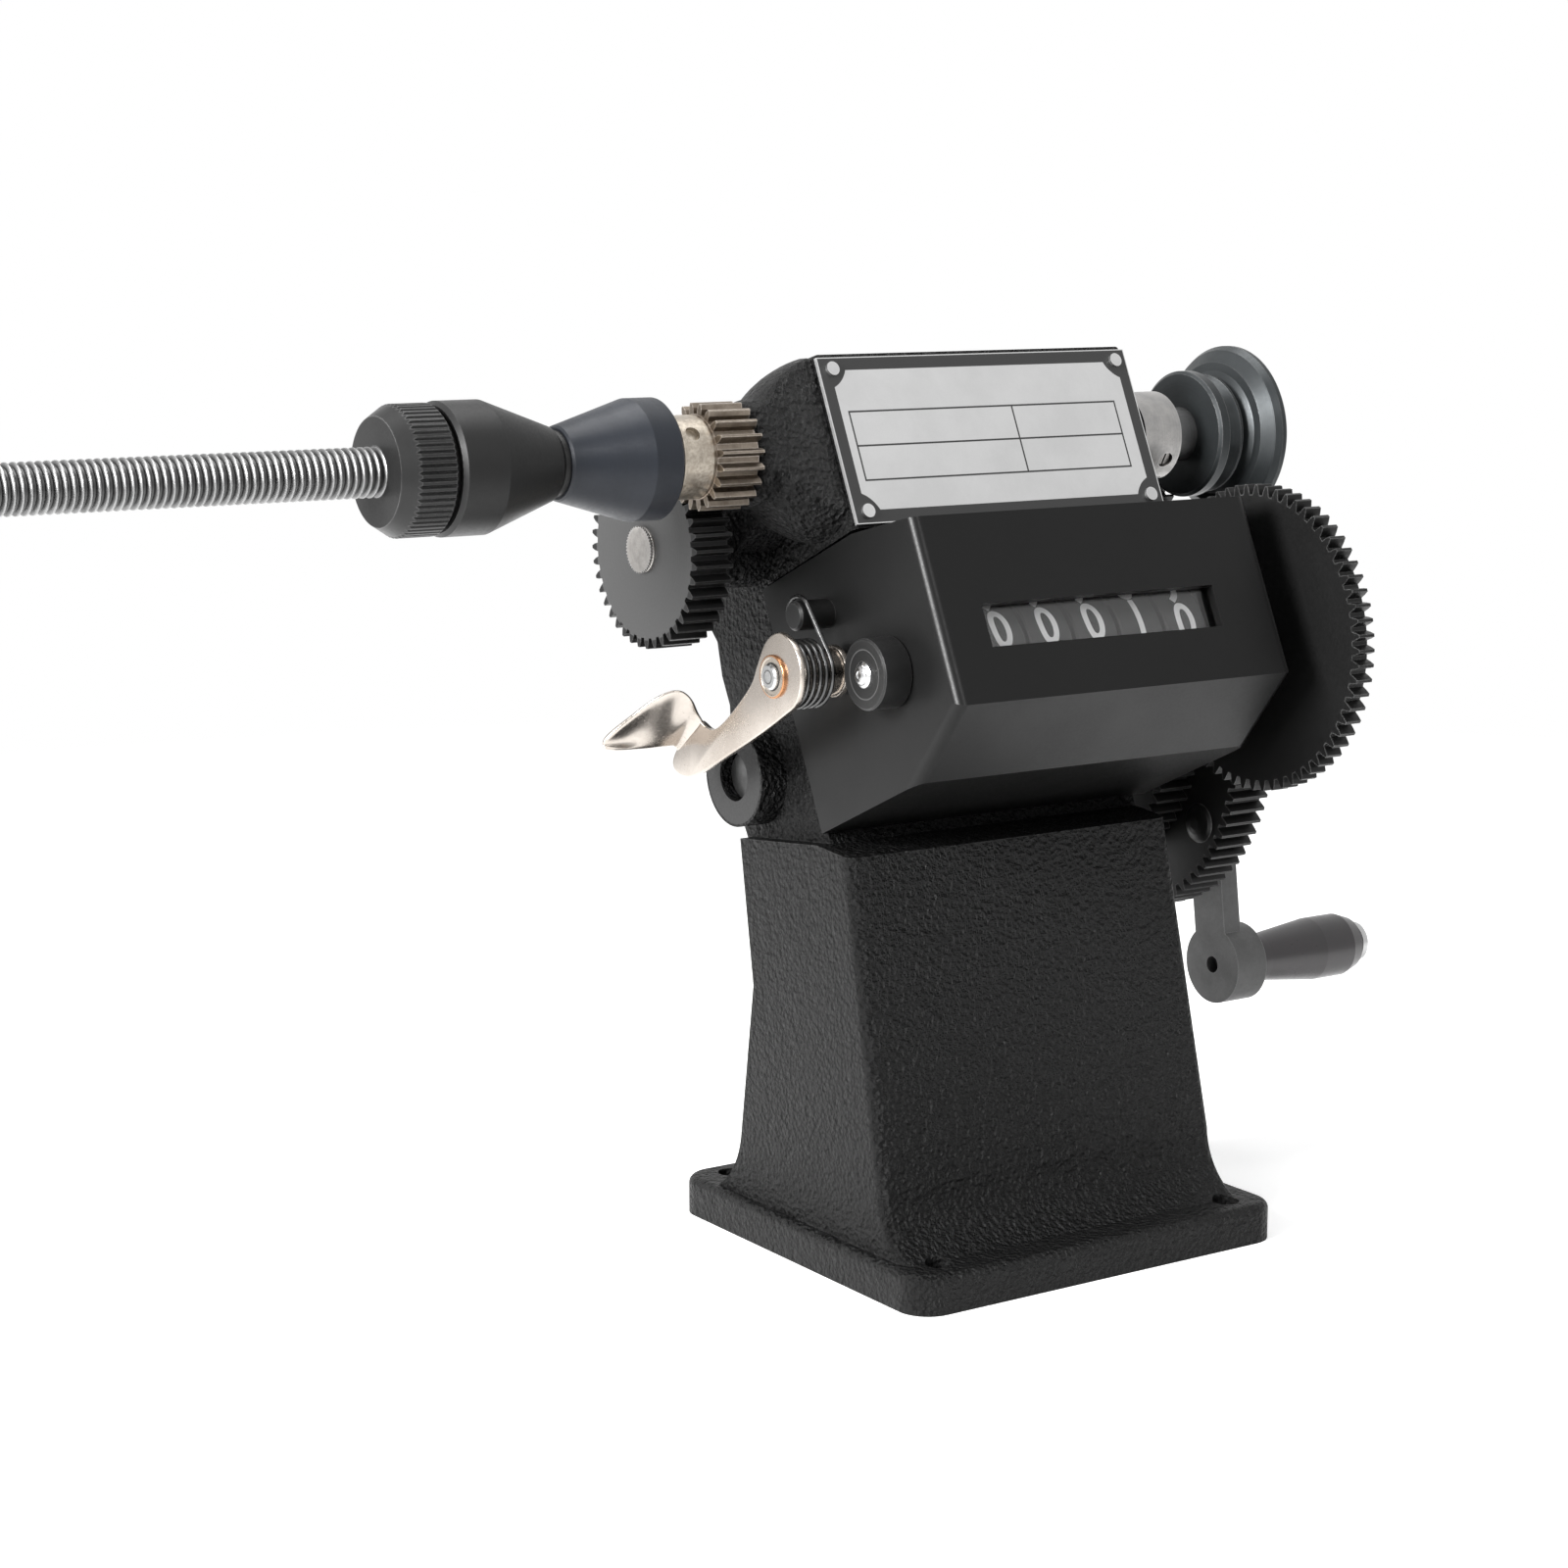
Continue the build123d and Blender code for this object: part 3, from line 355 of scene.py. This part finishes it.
def castFinish():
    # sand-cast black paint: pits and lumps with a painted highlight on the lumps' high points, with the
    # lower bore's face machined smooth
    material, tree, shader, height = newFinish("sandCastBlack", bump=1.0, depth=casting["bumpDepth"],
                                               gloss=casting["gloss"])
    worn = useGroup(tree, surfaceWear, Colour=casting["paint"], Deep=casting["deep"], Worn=casting["worn"],
                    Grain=casting["sand"], Blotch=casting["lump"], Edge=0.5, Spread=0.7,
                    RoughLow=casting["rough"][0], RoughHigh=casting["rough"][1])
    y, z = axes["crank"]
    marks = useGroup(tree, turnedMarks, CentreY=y, CentreZ=z, Ring=0.3)
    machined = calc(tree, "MULTIPLY", calc(tree, "LESS_THAN", marks["X"], casting["faceX"]),
                    calc(tree, "LESS_THAN", marks["Distance"], casting["faceRadius"]))
    smooth = blendColour(tree, calc(tree, "MULTIPLY", marks["Tone"], 0.5), casting["machined"],
                         casting["machinedDeep"])
    where = objectPlace(tree)
    lumps = place(tree, "ShaderNodeTexNoise", Vector=where, Scale=1 / (casting["lump"] * mm), Detail=4.0,
                  Roughness=0.7)
    pits = place(tree, "ShaderNodeTexVoronoi", Vector=where, Scale=1 / (casting["pit"] * mm))
    mixed = calc(tree, "ADD", calc(tree, "MULTIPLY", lumps.outputs[0], 0.5),
                 calc(tree, "MULTIPLY", worn["Height"], 0.5))
    # painted highlight: the high points of the lumps are lighter
    crests = calc(tree, "MULTIPLY", ramp(tree, mixed, 0.52, 0.64), casting["crestShare"])
    painted = blendColour(tree, crests, worn["Colour"], casting["crest"])
    tree.links.new(blendColour(tree, machined, painted, smooth), shader.inputs["Base Color"])
    polish = calc(tree, "MULTIPLY", machined, casting["machinedGloss"])
    tree.links.new(calc(tree, "SUBTRACT", worn["Roughness"], polish), shader.inputs["Roughness"])
    sand = calc(tree, "ADD", lumps.outputs[0],
                calc(tree, "MULTIPLY", pits.outputs["Distance"], casting["pitDepth"]))
    tree.links.new(calc(tree, "MULTIPLY", sand, calc(tree, "SUBTRACT", 1.0, machined)), height)
    return material


plate = {"lean": 24.6, "topY": -32.0, "topZ": 163.0, "middle": 24.2, "halfLength": 41.0, "halfHeight": 18.3,
         "edge": 0.22, "border": 2.9, "corner": 7.2, "tableLeft": -36.1, "tableRight": 34.6, "divider": 6.3,
         "tableLow": -8.9, "tableHigh": 6.2, "line": 0.2, "ink": grey(0.014), "metallic": 0.85}


def plateFinish():
    # silver plate: black border, rounded black corners, and an empty ruled table
    material, tree, shader, height = newFinish("plateSilver", plate["metallic"], bump=0.08, depth=0.05)
    worn = useGroup(tree, surfaceWear, Colour=grey(0.56), Deep=grey(0.44), Worn=grey(0.8), Grain=0.3,
                    Blotch=14.0, Edge=0.4, Spread=0.5, RoughLow=0.3, RoughHigh=0.42)
    x, y, z = inMillimetres(tree)
    lean = math.radians(plate["lean"])
    up = calc(tree, "ADD",
              calc(tree, "MULTIPLY", calc(tree, "SUBTRACT", y, plate["topY"]), math.sin(lean)),
              calc(tree, "MULTIPLY", calc(tree, "SUBTRACT", z, plate["topZ"]), math.cos(lean)))
    v = calc(tree, "SUBTRACT", up, plate["middle"])
    sideX = calc(tree, "SUBTRACT", plate["halfLength"], calc(tree, "ABSOLUTE", x))
    sideV = calc(tree, "SUBTRACT", plate["halfHeight"], calc(tree, "ABSOLUTE", v))
    nearest = calc(tree, "MINIMUM", sideX, sideV)
    border = between(tree, nearest, plate["edge"], plate["border"])
    nearCorner = calc(tree, "LESS_THAN", distanceFrom(tree, sideX, sideV), plate["corner"])
    corners = calc(tree, "MULTIPLY", nearCorner, calc(tree, "GREATER_THAN", nearest, plate["edge"]))
    half = plate["line"]  # half of a rule's width
    inWidth = between(tree, x, plate["tableLeft"] - half, plate["tableRight"] + half)
    inHeight = between(tree, v, plate["tableLow"] - half, plate["tableHigh"] + half)
    inTable = calc(tree, "MULTIPLY", inWidth, inHeight)
    middle = (plate["tableLow"] + plate["tableHigh"]) / 2
    lines = None
    for value, spots in ((x, (plate["tableLeft"], plate["divider"], plate["tableRight"])),
                         (v, (plate["tableLow"], middle, plate["tableHigh"]))):
        for spot in spots:
            off = calc(tree, "ABSOLUTE", calc(tree, "SUBTRACT", value, spot))
            rule = calc(tree, "LESS_THAN", off, half)
            lines = rule if lines is None else calc(tree, "MAXIMUM", lines, rule)
    inked = calc(tree, "MAXIMUM", calc(tree, "MAXIMUM", border, corners),
                 calc(tree, "MULTIPLY", inTable, lines))
    # only its front is printed
    inked = calc(tree, "MULTIPLY", inked, calc(tree, "LESS_THAN", wayItFaces(tree).outputs[1], -0.5))
    tree.links.new(blendColour(tree, inked, worn["Colour"], plate["ink"]), shader.inputs["Base Color"])
    bare = calc(tree, "SUBTRACT", 1.0, inked)
    tree.links.new(calc(tree, "MULTIPLY", bare, plate["metallic"]), shader.inputs["Metallic"])
    tree.links.new(worn["Roughness"], shader.inputs["Roughness"])
    tree.links.new(worn["Height"], height)
    return material


def glassFinish():
    material, tree, shader, height = newFinish("windowClear", bump=0.02, depth=0.02)
    shader.inputs["Transmission Weight"].default_value = 1.0
    shader.inputs["IOR"].default_value = 1.45
    worn = useGroup(tree, surfaceWear, Colour=grey(0.96), Deep=grey(0.86), Worn=grey(0.9), Grain=0.8,
                    Blotch=15.0, Edge=0.2, Spread=0.4, RoughLow=0.01, RoughHigh=0.06)
    tree.links.new(worn["Colour"], shader.inputs["Base Color"])
    tree.links.new(worn["Roughness"], shader.inputs["Roughness"])
    tree.links.new(worn["Height"], height)
    return material


finishes["sandCastBlack"] = castFinish()
finishes["plateSilver"] = plateFinish()
finishes["windowClear"] = glassFinish()
for name, item in nodes.items():
    for holder in item.material_slots:
        holder.material = finishes[finishOf[name]]
print("finishes given to", len(nodes), "nodes")


# new pieces
def clearSelection():
    if bpy.context.object and bpy.context.object.mode != "OBJECT":
        bpy.ops.object.mode_set(mode="OBJECT")
    bpy.ops.object.select_all(action="DESELECT")


def settle(piece):
    # place, turn and size go into the mesh
    clearSelection()
    piece.select_set(True)
    bpy.context.view_layer.objects.active = piece
    bpy.ops.object.transform_apply(location=True, rotation=True, scale=True)


def finishPiece(piece, name, body, material):
    piece.name = name
    piece.data.materials.clear()
    piece.data.materials.append(finishes[material])
    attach(piece, body)


mergeWithin = 0.002 * mm

digits = {"height": 9.0, "sizePerHeight": 1.36, "narrow": 0.84, "bold": 0.2, "radius": 14.62, "thick": 0.08,
          "strips": 6, "step": 36, "showAngle": 145.5, "firstX": -25.0, "pitch": 12.0,
          "shown": [0, 0, 0, 1, 0], "turned": [0, 0, 0, 0, 8],
          "bodies": ["ten_thousands", "thousands", "hundreds", "tens", "counter"]}


def makeFlatDigit(value):
    # cut into strips, so that it can follow the wheel's curve
    clearSelection()
    bpy.ops.object.text_add()
    label = bpy.context.object
    label.data.body = str(value)
    label.data.align_x = "CENTER"
    label.data.align_y = "CENTER"
    label.data.size = digits["height"] * digits["sizePerHeight"] * mm
    label.data.offset = digits["bold"] * mm
    label.data.extrude = digits["thick"] / 2 * mm
    bpy.ops.object.convert(target="MESH")
    label = bpy.context.object
    bpy.ops.object.mode_set(mode="EDIT")
    bpy.ops.mesh.select_all(action="SELECT")
    bpy.ops.mesh.remove_doubles(threshold=mergeWithin)
    for strip in range(-digits["strips"], digits["strips"] + 1):
        bpy.ops.mesh.select_all(action="SELECT")
        level = strip * digits["height"] / 2 / digits["strips"] * mm
        bpy.ops.mesh.bisect(plane_co=(0, level, 0), plane_no=(0, 1, 0))
    bpy.ops.object.mode_set(mode="OBJECT")
    return label


def makeDigits(wheel, flat):
    # ten numbers round the wheel, each laid on its curve
    cy, cz = axes["counter"]
    centre = digits["firstX"] + wheel * digits["pitch"]
    made = []
    for value in range(10):
        label = bpy.data.objects.new("digit", flat[value].data.copy())
        bpy.context.scene.collection.objects.link(label)
        # later numbers come up from below as the wheel turns
        steps = value - digits["shown"][wheel]
        middle = digits["showAngle"] + digits["step"] * steps + digits["turned"][wheel]
        for corner in label.data.vertices:
            across, upward, out = corner.co / mm
            angle = math.radians(middle) - upward / digits["radius"]
            reach = digits["radius"] + out
            spot = (centre + across * digits["narrow"], cy + reach * math.cos(angle),
                    cz + reach * math.sin(angle))
            corner.co = Vector(spot) * mm
        made.append(label)
    clearSelection()
    for label in made:
        label.select_set(True)
    bpy.context.view_layer.objects.active = made[0]
    bpy.ops.object.join()
    piece = bpy.context.object
    name = "wheelNumbers" + str(wheel + 1)
    finishPiece(piece, name, digits["bodies"][wheel], "digitWhite")


flatDigits = [makeFlatDigit(value) for value in range(10)]
for wheel in range(len(digits["bodies"])):
    makeDigits(wheel, flatDigits)
for label in flatDigits:
    bpy.data.objects.remove(label)
print("wheel numbers made")


lever = {
    "plateLeft": -60.0, "plateRight": -58.4, "edge": 0.35, "thick": 1.3, "across": 4, "perPoint": 4,
    "cup": (0.0, 1.7, -1.1), "cupRows": 3, "tipCup": 0.6,
    "outline": [(-2.0, 131.4), (0.3, 127.1), (5.5, 122.0), (12.1, 116.9), (16.4, 115.4), (21.3, 116.7),
                (24.6, 113.7), (29.1, 109.9), (31.2, 106.4), (29.6, 104.3), (25.1, 103.9), (19.4, 105.8),
                (9.3, 110.8), (-1.0, 115.9), (-11.0, 121.4), (-16.4, 125.1), (-18.0, 130.8),
                (-16.6, 135.2), (-13.0, 137.8), (-9.2, 138.6), (-5.0, 136.3)],
    "rows": [(-58.9, (19.2, 115.9), (29.9, 107.9)),
             (-60.6, (19.9, 118.4), (29.4, 110.4)),
             (-62.5, (18.0, 121.3), (27.9, 110.6)),
             (-65, (18.3, 124.2), (27.0, 110.7)),
             (-68, (19.3, 124.1), (26.9, 110.6)),
             (-71, (21.9, 121.9), (26.8, 110.7)),
             (-74, (24.1, 118.8), (26.6, 110.8)),
             (-77, (25.5, 116.4), (26.4, 111.1)),
             (-79.5, (27.4, 113.4), (27.0, 111.8))],
    "sleeveRight": -44.8, "sleeve": 4.8, "flangeLeft": -46.0, "flange": 5.4, "flangeRound": 0.25,
    "seat": 0.1}


def smoothLoop(points, steps):
    # a closed curve through the points
    loop = []
    count = len(points)
    for index in range(count):
        before, start, end, after = (Vector(points[(index + shift) % count]) for shift in (-1, 0, 1, 2))
        for step in range(steps):
            t = step / steps
            turning = 2 * before - 5 * start + 4 * end - after
            easing = 3 * start - before - 3 * end + after
            loop.append(0.5 * (2 * start + (end - before) * t + turning * t * t + easing * t * t * t))
    return loop


def makeLeverArm():
    loop = smoothLoop(lever["outline"], lever["perPoint"])
    clearSelection()
    bpy.ops.mesh.primitive_circle_add(vertices=len(loop), radius=0.01, fill_type="NGON")
    arm = bpy.context.object
    for corner, (y, z) in zip(arm.data.vertices, loop):
        corner.co = Vector((lever["plateLeft"], y, z)) * mm
    bpy.ops.object.mode_set(mode="EDIT")
    bpy.ops.mesh.select_all(action="SELECT")
    width = (lever["plateRight"] - lever["plateLeft"]) * mm
    bpy.ops.mesh.extrude_region_move(TRANSFORM_OT_translate={"value": (width, 0, 0)})
    bpy.ops.mesh.select_all(action="SELECT")
    bpy.ops.mesh.normals_make_consistent(inside=False)
    bpy.ops.object.mode_set(mode="OBJECT")
    rounding = arm.modifiers.new("rounding", "BEVEL")
    rounding.width = lever["edge"] * mm
    rounding.segments = 3
    rounding.limit_method = "ANGLE"
    rounding.angle_limit = math.radians(60)
    bpy.ops.object.modifier_apply(modifier="rounding")
    return arm


def makeLeverLeaf():
    # a cupped leaf for the thumb, bent out of the plate
    clearSelection()
    last = len(lever["rows"]) - 1
    bpy.ops.mesh.primitive_grid_add(x_subdivisions=last, y_subdivisions=lever["across"], size=2)
    leaf = bpy.context.object
    for corner in leaf.data.vertices:
        row = round((corner.co.x + 1) / 2 * last)
        x, top, low = lever["rows"][row]
        share = (corner.co.y + 1) / 2
        # deepest along the middle, and flatter near the arm and at the tip
        sag = 4 * share * (1 - share) * min(row / lever["cupRows"], 1, (last - row + lever["tipCup"]) / 2)
        spot = Vector((x, *top)).lerp(Vector((x, *low)), share) + Vector(lever["cup"]) * sag
        corner.co = spot * mm
    wall = leaf.modifiers.new("wall", "SOLIDIFY")
    wall.thickness = lever["thick"] * mm
    wall.offset = 0
    soft = leaf.modifiers.new("soft", "SUBSURF")
    soft.levels = soft.render_levels = 3
    bpy.ops.object.modifier_apply(modifier="wall")
    bpy.ops.object.modifier_apply(modifier="soft")
    return leaf


def makeLever():
    # arm, leaf and sleeve, in place of the plainer CAD lever
    arm = makeLeverArm()
    leaf = makeLeverLeaf()
    start = lever["plateRight"] - lever["seat"]
    sleeve = addDisc("sleeve", "lever", start, lever["sleeveRight"], lever["sleeve"])
    closeUp(sleeve)
    flange = addDisc("flange", "lever", lever["flangeLeft"], lever["sleeveRight"], lever["flange"])
    bpy.ops.mesh.bevel(offset=lever["flangeRound"] * mm, segments=2, affect="EDGES")
    closeUp(flange)
    clearSelection()
    for piece in (arm, leaf, sleeve, flange):
        piece.select_set(True)
    bpy.context.view_layer.objects.active = arm
    bpy.ops.object.join()
    bpy.ops.object.mode_set(mode="EDIT")
    bpy.ops.mesh.select_all(action="SELECT")
    bpy.ops.mesh.normals_make_consistent(inside=False)
    bpy.ops.object.mode_set(mode="OBJECT")
    bpy.ops.object.shade_smooth_by_angle(angle=math.radians(40))
    finishPiece(arm, "leverPlate", "lever", "leverNickel")
    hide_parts("reset_lever")


def addDisc(name, axis, left, right, radius, sides=72):
    # a closed round blank along X, ready for edit mode with its left face selected
    clearSelection()
    y, z = axes[axis]
    bpy.ops.mesh.primitive_cylinder_add(vertices=sides, radius=radius * mm, depth=(right - left) * mm,
                                        location=((left + right) / 2 * mm, y * mm, z * mm),
                                        rotation=(0, math.radians(90), 0))
    piece = bpy.context.object
    piece.name = name
    settle(piece)
    bpy.ops.object.mode_set(mode="EDIT")
    selectFaces(piece, lambda face: face.normal.x < -0.9)
    return piece


def selectFaces(piece, wanted):
    bpy.ops.mesh.select_all(action="DESELECT")
    bpy.ops.mesh.select_mode(type="FACE")
    bpy.ops.object.mode_set(mode="OBJECT")
    for face in piece.data.polygons:
        face.select = bool(wanted(face))
    bpy.ops.object.mode_set(mode="EDIT")


def isLeftEnd(face):
    # the broad flat end, not the small faces round its edge
    return face.normal.x < -0.99 and face.area > 10 * mm * mm


def closeUp(piece, angle=35):
    bpy.ops.mesh.select_all(action="SELECT")
    bpy.ops.mesh.remove_doubles(threshold=mergeWithin)
    bpy.ops.mesh.normals_make_consistent(inside=False)
    bpy.ops.object.mode_set(mode="OBJECT")
    bpy.ops.object.shade_smooth_by_angle(angle=math.radians(angle))


washer = {"left": -60.75, "right": -60.0, "radius": 4.5, "round": 0.22, "rim": 0.45, "slope": 0.12,
          "sink": 0.12}


def makeWasher():
    # a raised washer under the pin's head, with a rim
    piece = addDisc("leverWasher", "lever", washer["left"], washer["right"], washer["radius"])
    bpy.ops.mesh.bevel(offset=washer["round"] * mm, segments=3, affect="EDGES")
    selectFaces(piece, isLeftEnd)
    bpy.ops.mesh.inset(thickness=washer["rim"] * mm)
    bpy.ops.mesh.inset(thickness=washer["slope"] * mm)
    bpy.ops.transform.translate(value=(washer["sink"] * mm, 0, 0))
    closeUp(piece)
    finishPiece(piece, "leverWasher", "lever", "washerNickel")


dome = {"left": -51.35, "right": -50.7, "radius": 2.1, "blank": 0.05, "rises": (1.5, 1.17, 0.84, 0.51),
        "shrinks": (0.93, 0.87, 0.78, 0.62), "dimpleRim": 0.18, "dimple": 0.22}


def makeShaftDome():
    # the counter shaft's rounded bright end, with a centre dimple
    start = dome["right"] - dome["blank"]
    piece = addDisc("shaftDome", "counter", start, dome["right"], dome["radius"], 40)
    part = (start - dome["left"]) / len(dome["rises"]) * mm
    for rise, shrink in zip(dome["rises"], dome["shrinks"]):
        bpy.ops.mesh.extrude_region_move(TRANSFORM_OT_translate={"value": (-part * rise, 0, 0)})
        bpy.ops.transform.resize(value=(1, shrink, shrink))
    bpy.ops.mesh.inset(thickness=dome["dimpleRim"] * mm)
    bpy.ops.transform.translate(value=(dome["dimple"] * mm, 0, 0))
    closeUp(piece, 50)
    finishPiece(piece, "shaftDome", "counter", "counterShaftBright")


serration = {"left": -69.55, "right": -69.15, "radius": 4.72, "teeth": 44, "reach": 0.3, "rim": 0.5,
             "sink": 0.15}


def makeSerratedRing():
    # fine teeth round the layshaft's end
    piece = addDisc("layShaftTeeth", "lay", serration["left"], serration["right"], serration["radius"],
                    serration["teeth"] * 2)
    cy, cz = axes["lay"]

    def everyOther(face):
        angle = math.atan2(face.center.z / mm - cz, face.center.y / mm - cy)
        return abs(face.normal.x) < 0.1 and round(angle / math.pi * serration["teeth"] - 0.5) % 2 == 0

    selectFaces(piece, everyOther)
    bpy.ops.mesh.extrude_faces_move(TRANSFORM_OT_shrink_fatten={"value": serration["reach"] * mm})
    selectFaces(piece, isLeftEnd)
    bpy.ops.mesh.inset(thickness=serration["rim"] * mm)
    bpy.ops.transform.translate(value=(serration["sink"] * mm, 0, 0))
    closeUp(piece, 20)
    finishPiece(piece, "layShaftTeeth", "layshaft", "serratedBright")


coneRing = {"left": -103.3, "right": -101.9, "radius": 6.7, "round": 0.4}


def makeConeRing():
    # the dark ring at the small ends of the two cones
    piece = addDisc("coneRing", "spindle", coneRing["left"], coneRing["right"], coneRing["radius"])
    bpy.ops.mesh.bevel(offset=coneRing["round"] * mm, segments=3, affect="EDGES")
    closeUp(piece)
    finishPiece(piece, "coneRing", "spindle", "coneBlack")


makeLever()
makeWasher()
makeShaftDome()
makeSerratedRing()
makeConeRing()
print("lever and small turned pieces made")


# floor, light and camera
stage = {"size": 12.0, "floor": grey(0.92), "floorGlow": grey(0.4), "fadeFrom": 0.3, "fadeTo": 0.75,
         "room": 0.35}


def makeStage():
    clearSelection()
    bpy.ops.mesh.primitive_plane_add(size=stage["size"], location=(0, 0, 0))
    floor = bpy.context.object
    floor.name = "floor"
    material = bpy.data.materials.new("paleFloor")
    material.use_nodes = True
    tree = material.node_tree
    shader = tree.nodes["Principled BSDF"]
    shader.inputs["Base Color"].default_value = stage["floor"]
    shader.inputs["Roughness"].default_value = 0.9
    shader.inputs["Specular IOR Level"].default_value = 0.1
    shader.inputs["Emission Strength"].default_value = 1.0
    glow = blendColour(tree, seenRay(tree), grey(0.0), stage["floorGlow"])
    tree.links.new(glow, shader.inputs["Emission Color"])
    # far off, the floor fades into the white room
    reach = tree.nodes.new("ShaderNodeVectorMath")
    reach.operation = "LENGTH"
    tree.links.new(objectPlace(tree), reach.inputs[0])
    fade = ramp(tree, reach.outputs["Value"], stage["fadeFrom"], stage["fadeTo"], 1.0, 0.0)
    tree.links.new(fade, shader.inputs["Alpha"])
    floor.data.materials.append(material)
    world = bpy.data.worlds.new("paleRoom")
    bpy.context.scene.world = world
    world.use_nodes = True
    tree = world.node_tree
    sky = tree.nodes["Background"]
    sky.inputs["Color"].default_value = grey(1.0)
    tree.links.new(ramp(tree, seenRay(tree), 0.0, 1.0, stage["room"], 1.0), sky.inputs["Strength"])


lamps = {"keyLight": {"at": (-1.15, -0.12, 0.5), "size": (0.5, 0.5), "power": 42.0},
         "frontLight": {"at": (-0.1, -1.1, 0.9), "size": (0.5, 0.4), "power": 3.5},
         "topLight": {"at": (0, 0.15, 1.2), "size": (0.8, 0.8), "power": 11.0}}
lampAim = Vector((0, 0, 0.1))


def addSoftLight(name, at, size, power):
    lamp = bpy.data.lights.new(name, "AREA")
    lamp.shape = "RECTANGLE"
    lamp.size, lamp.size_y = size
    lamp.energy = power
    holder = bpy.data.objects.new(name, lamp)
    bpy.context.scene.collection.objects.link(holder)
    holder.location = at
    holder.rotation_euler = (lampAim - Vector(at)).to_track_quat("-Z", "Y").to_euler()


camera = {"at": (-0.42166, -0.55068, 0.22085), "turn": 56.13, "tilt": 9.88, "lens": 74.25}


def makeCamera():
    shot = bpy.data.cameras.new("photoCamera")
    shot.sensor_width = 36.0
    shot.lens = camera["lens"]
    shot.clip_start = 0.01
    holder = bpy.data.objects.new("photoCamera", shot)
    bpy.context.scene.collection.objects.link(holder)
    holder.location = camera["at"]
    turn, tilt = math.radians(camera["turn"]), math.radians(camera["tilt"])
    ahead = Vector((math.cos(turn) * math.cos(tilt), math.sin(turn) * math.cos(tilt), -math.sin(tilt)))
    holder.rotation_euler = ahead.to_track_quat("-Z", "Y").to_euler()
    bpy.context.scene.camera = holder


makeStage()
for name, setting in lamps.items():
    addSoftLight(name, **setting)
makeCamera()
bpy.context.scene.view_settings.view_transform = "Standard"
print("stage, lights and camera set")
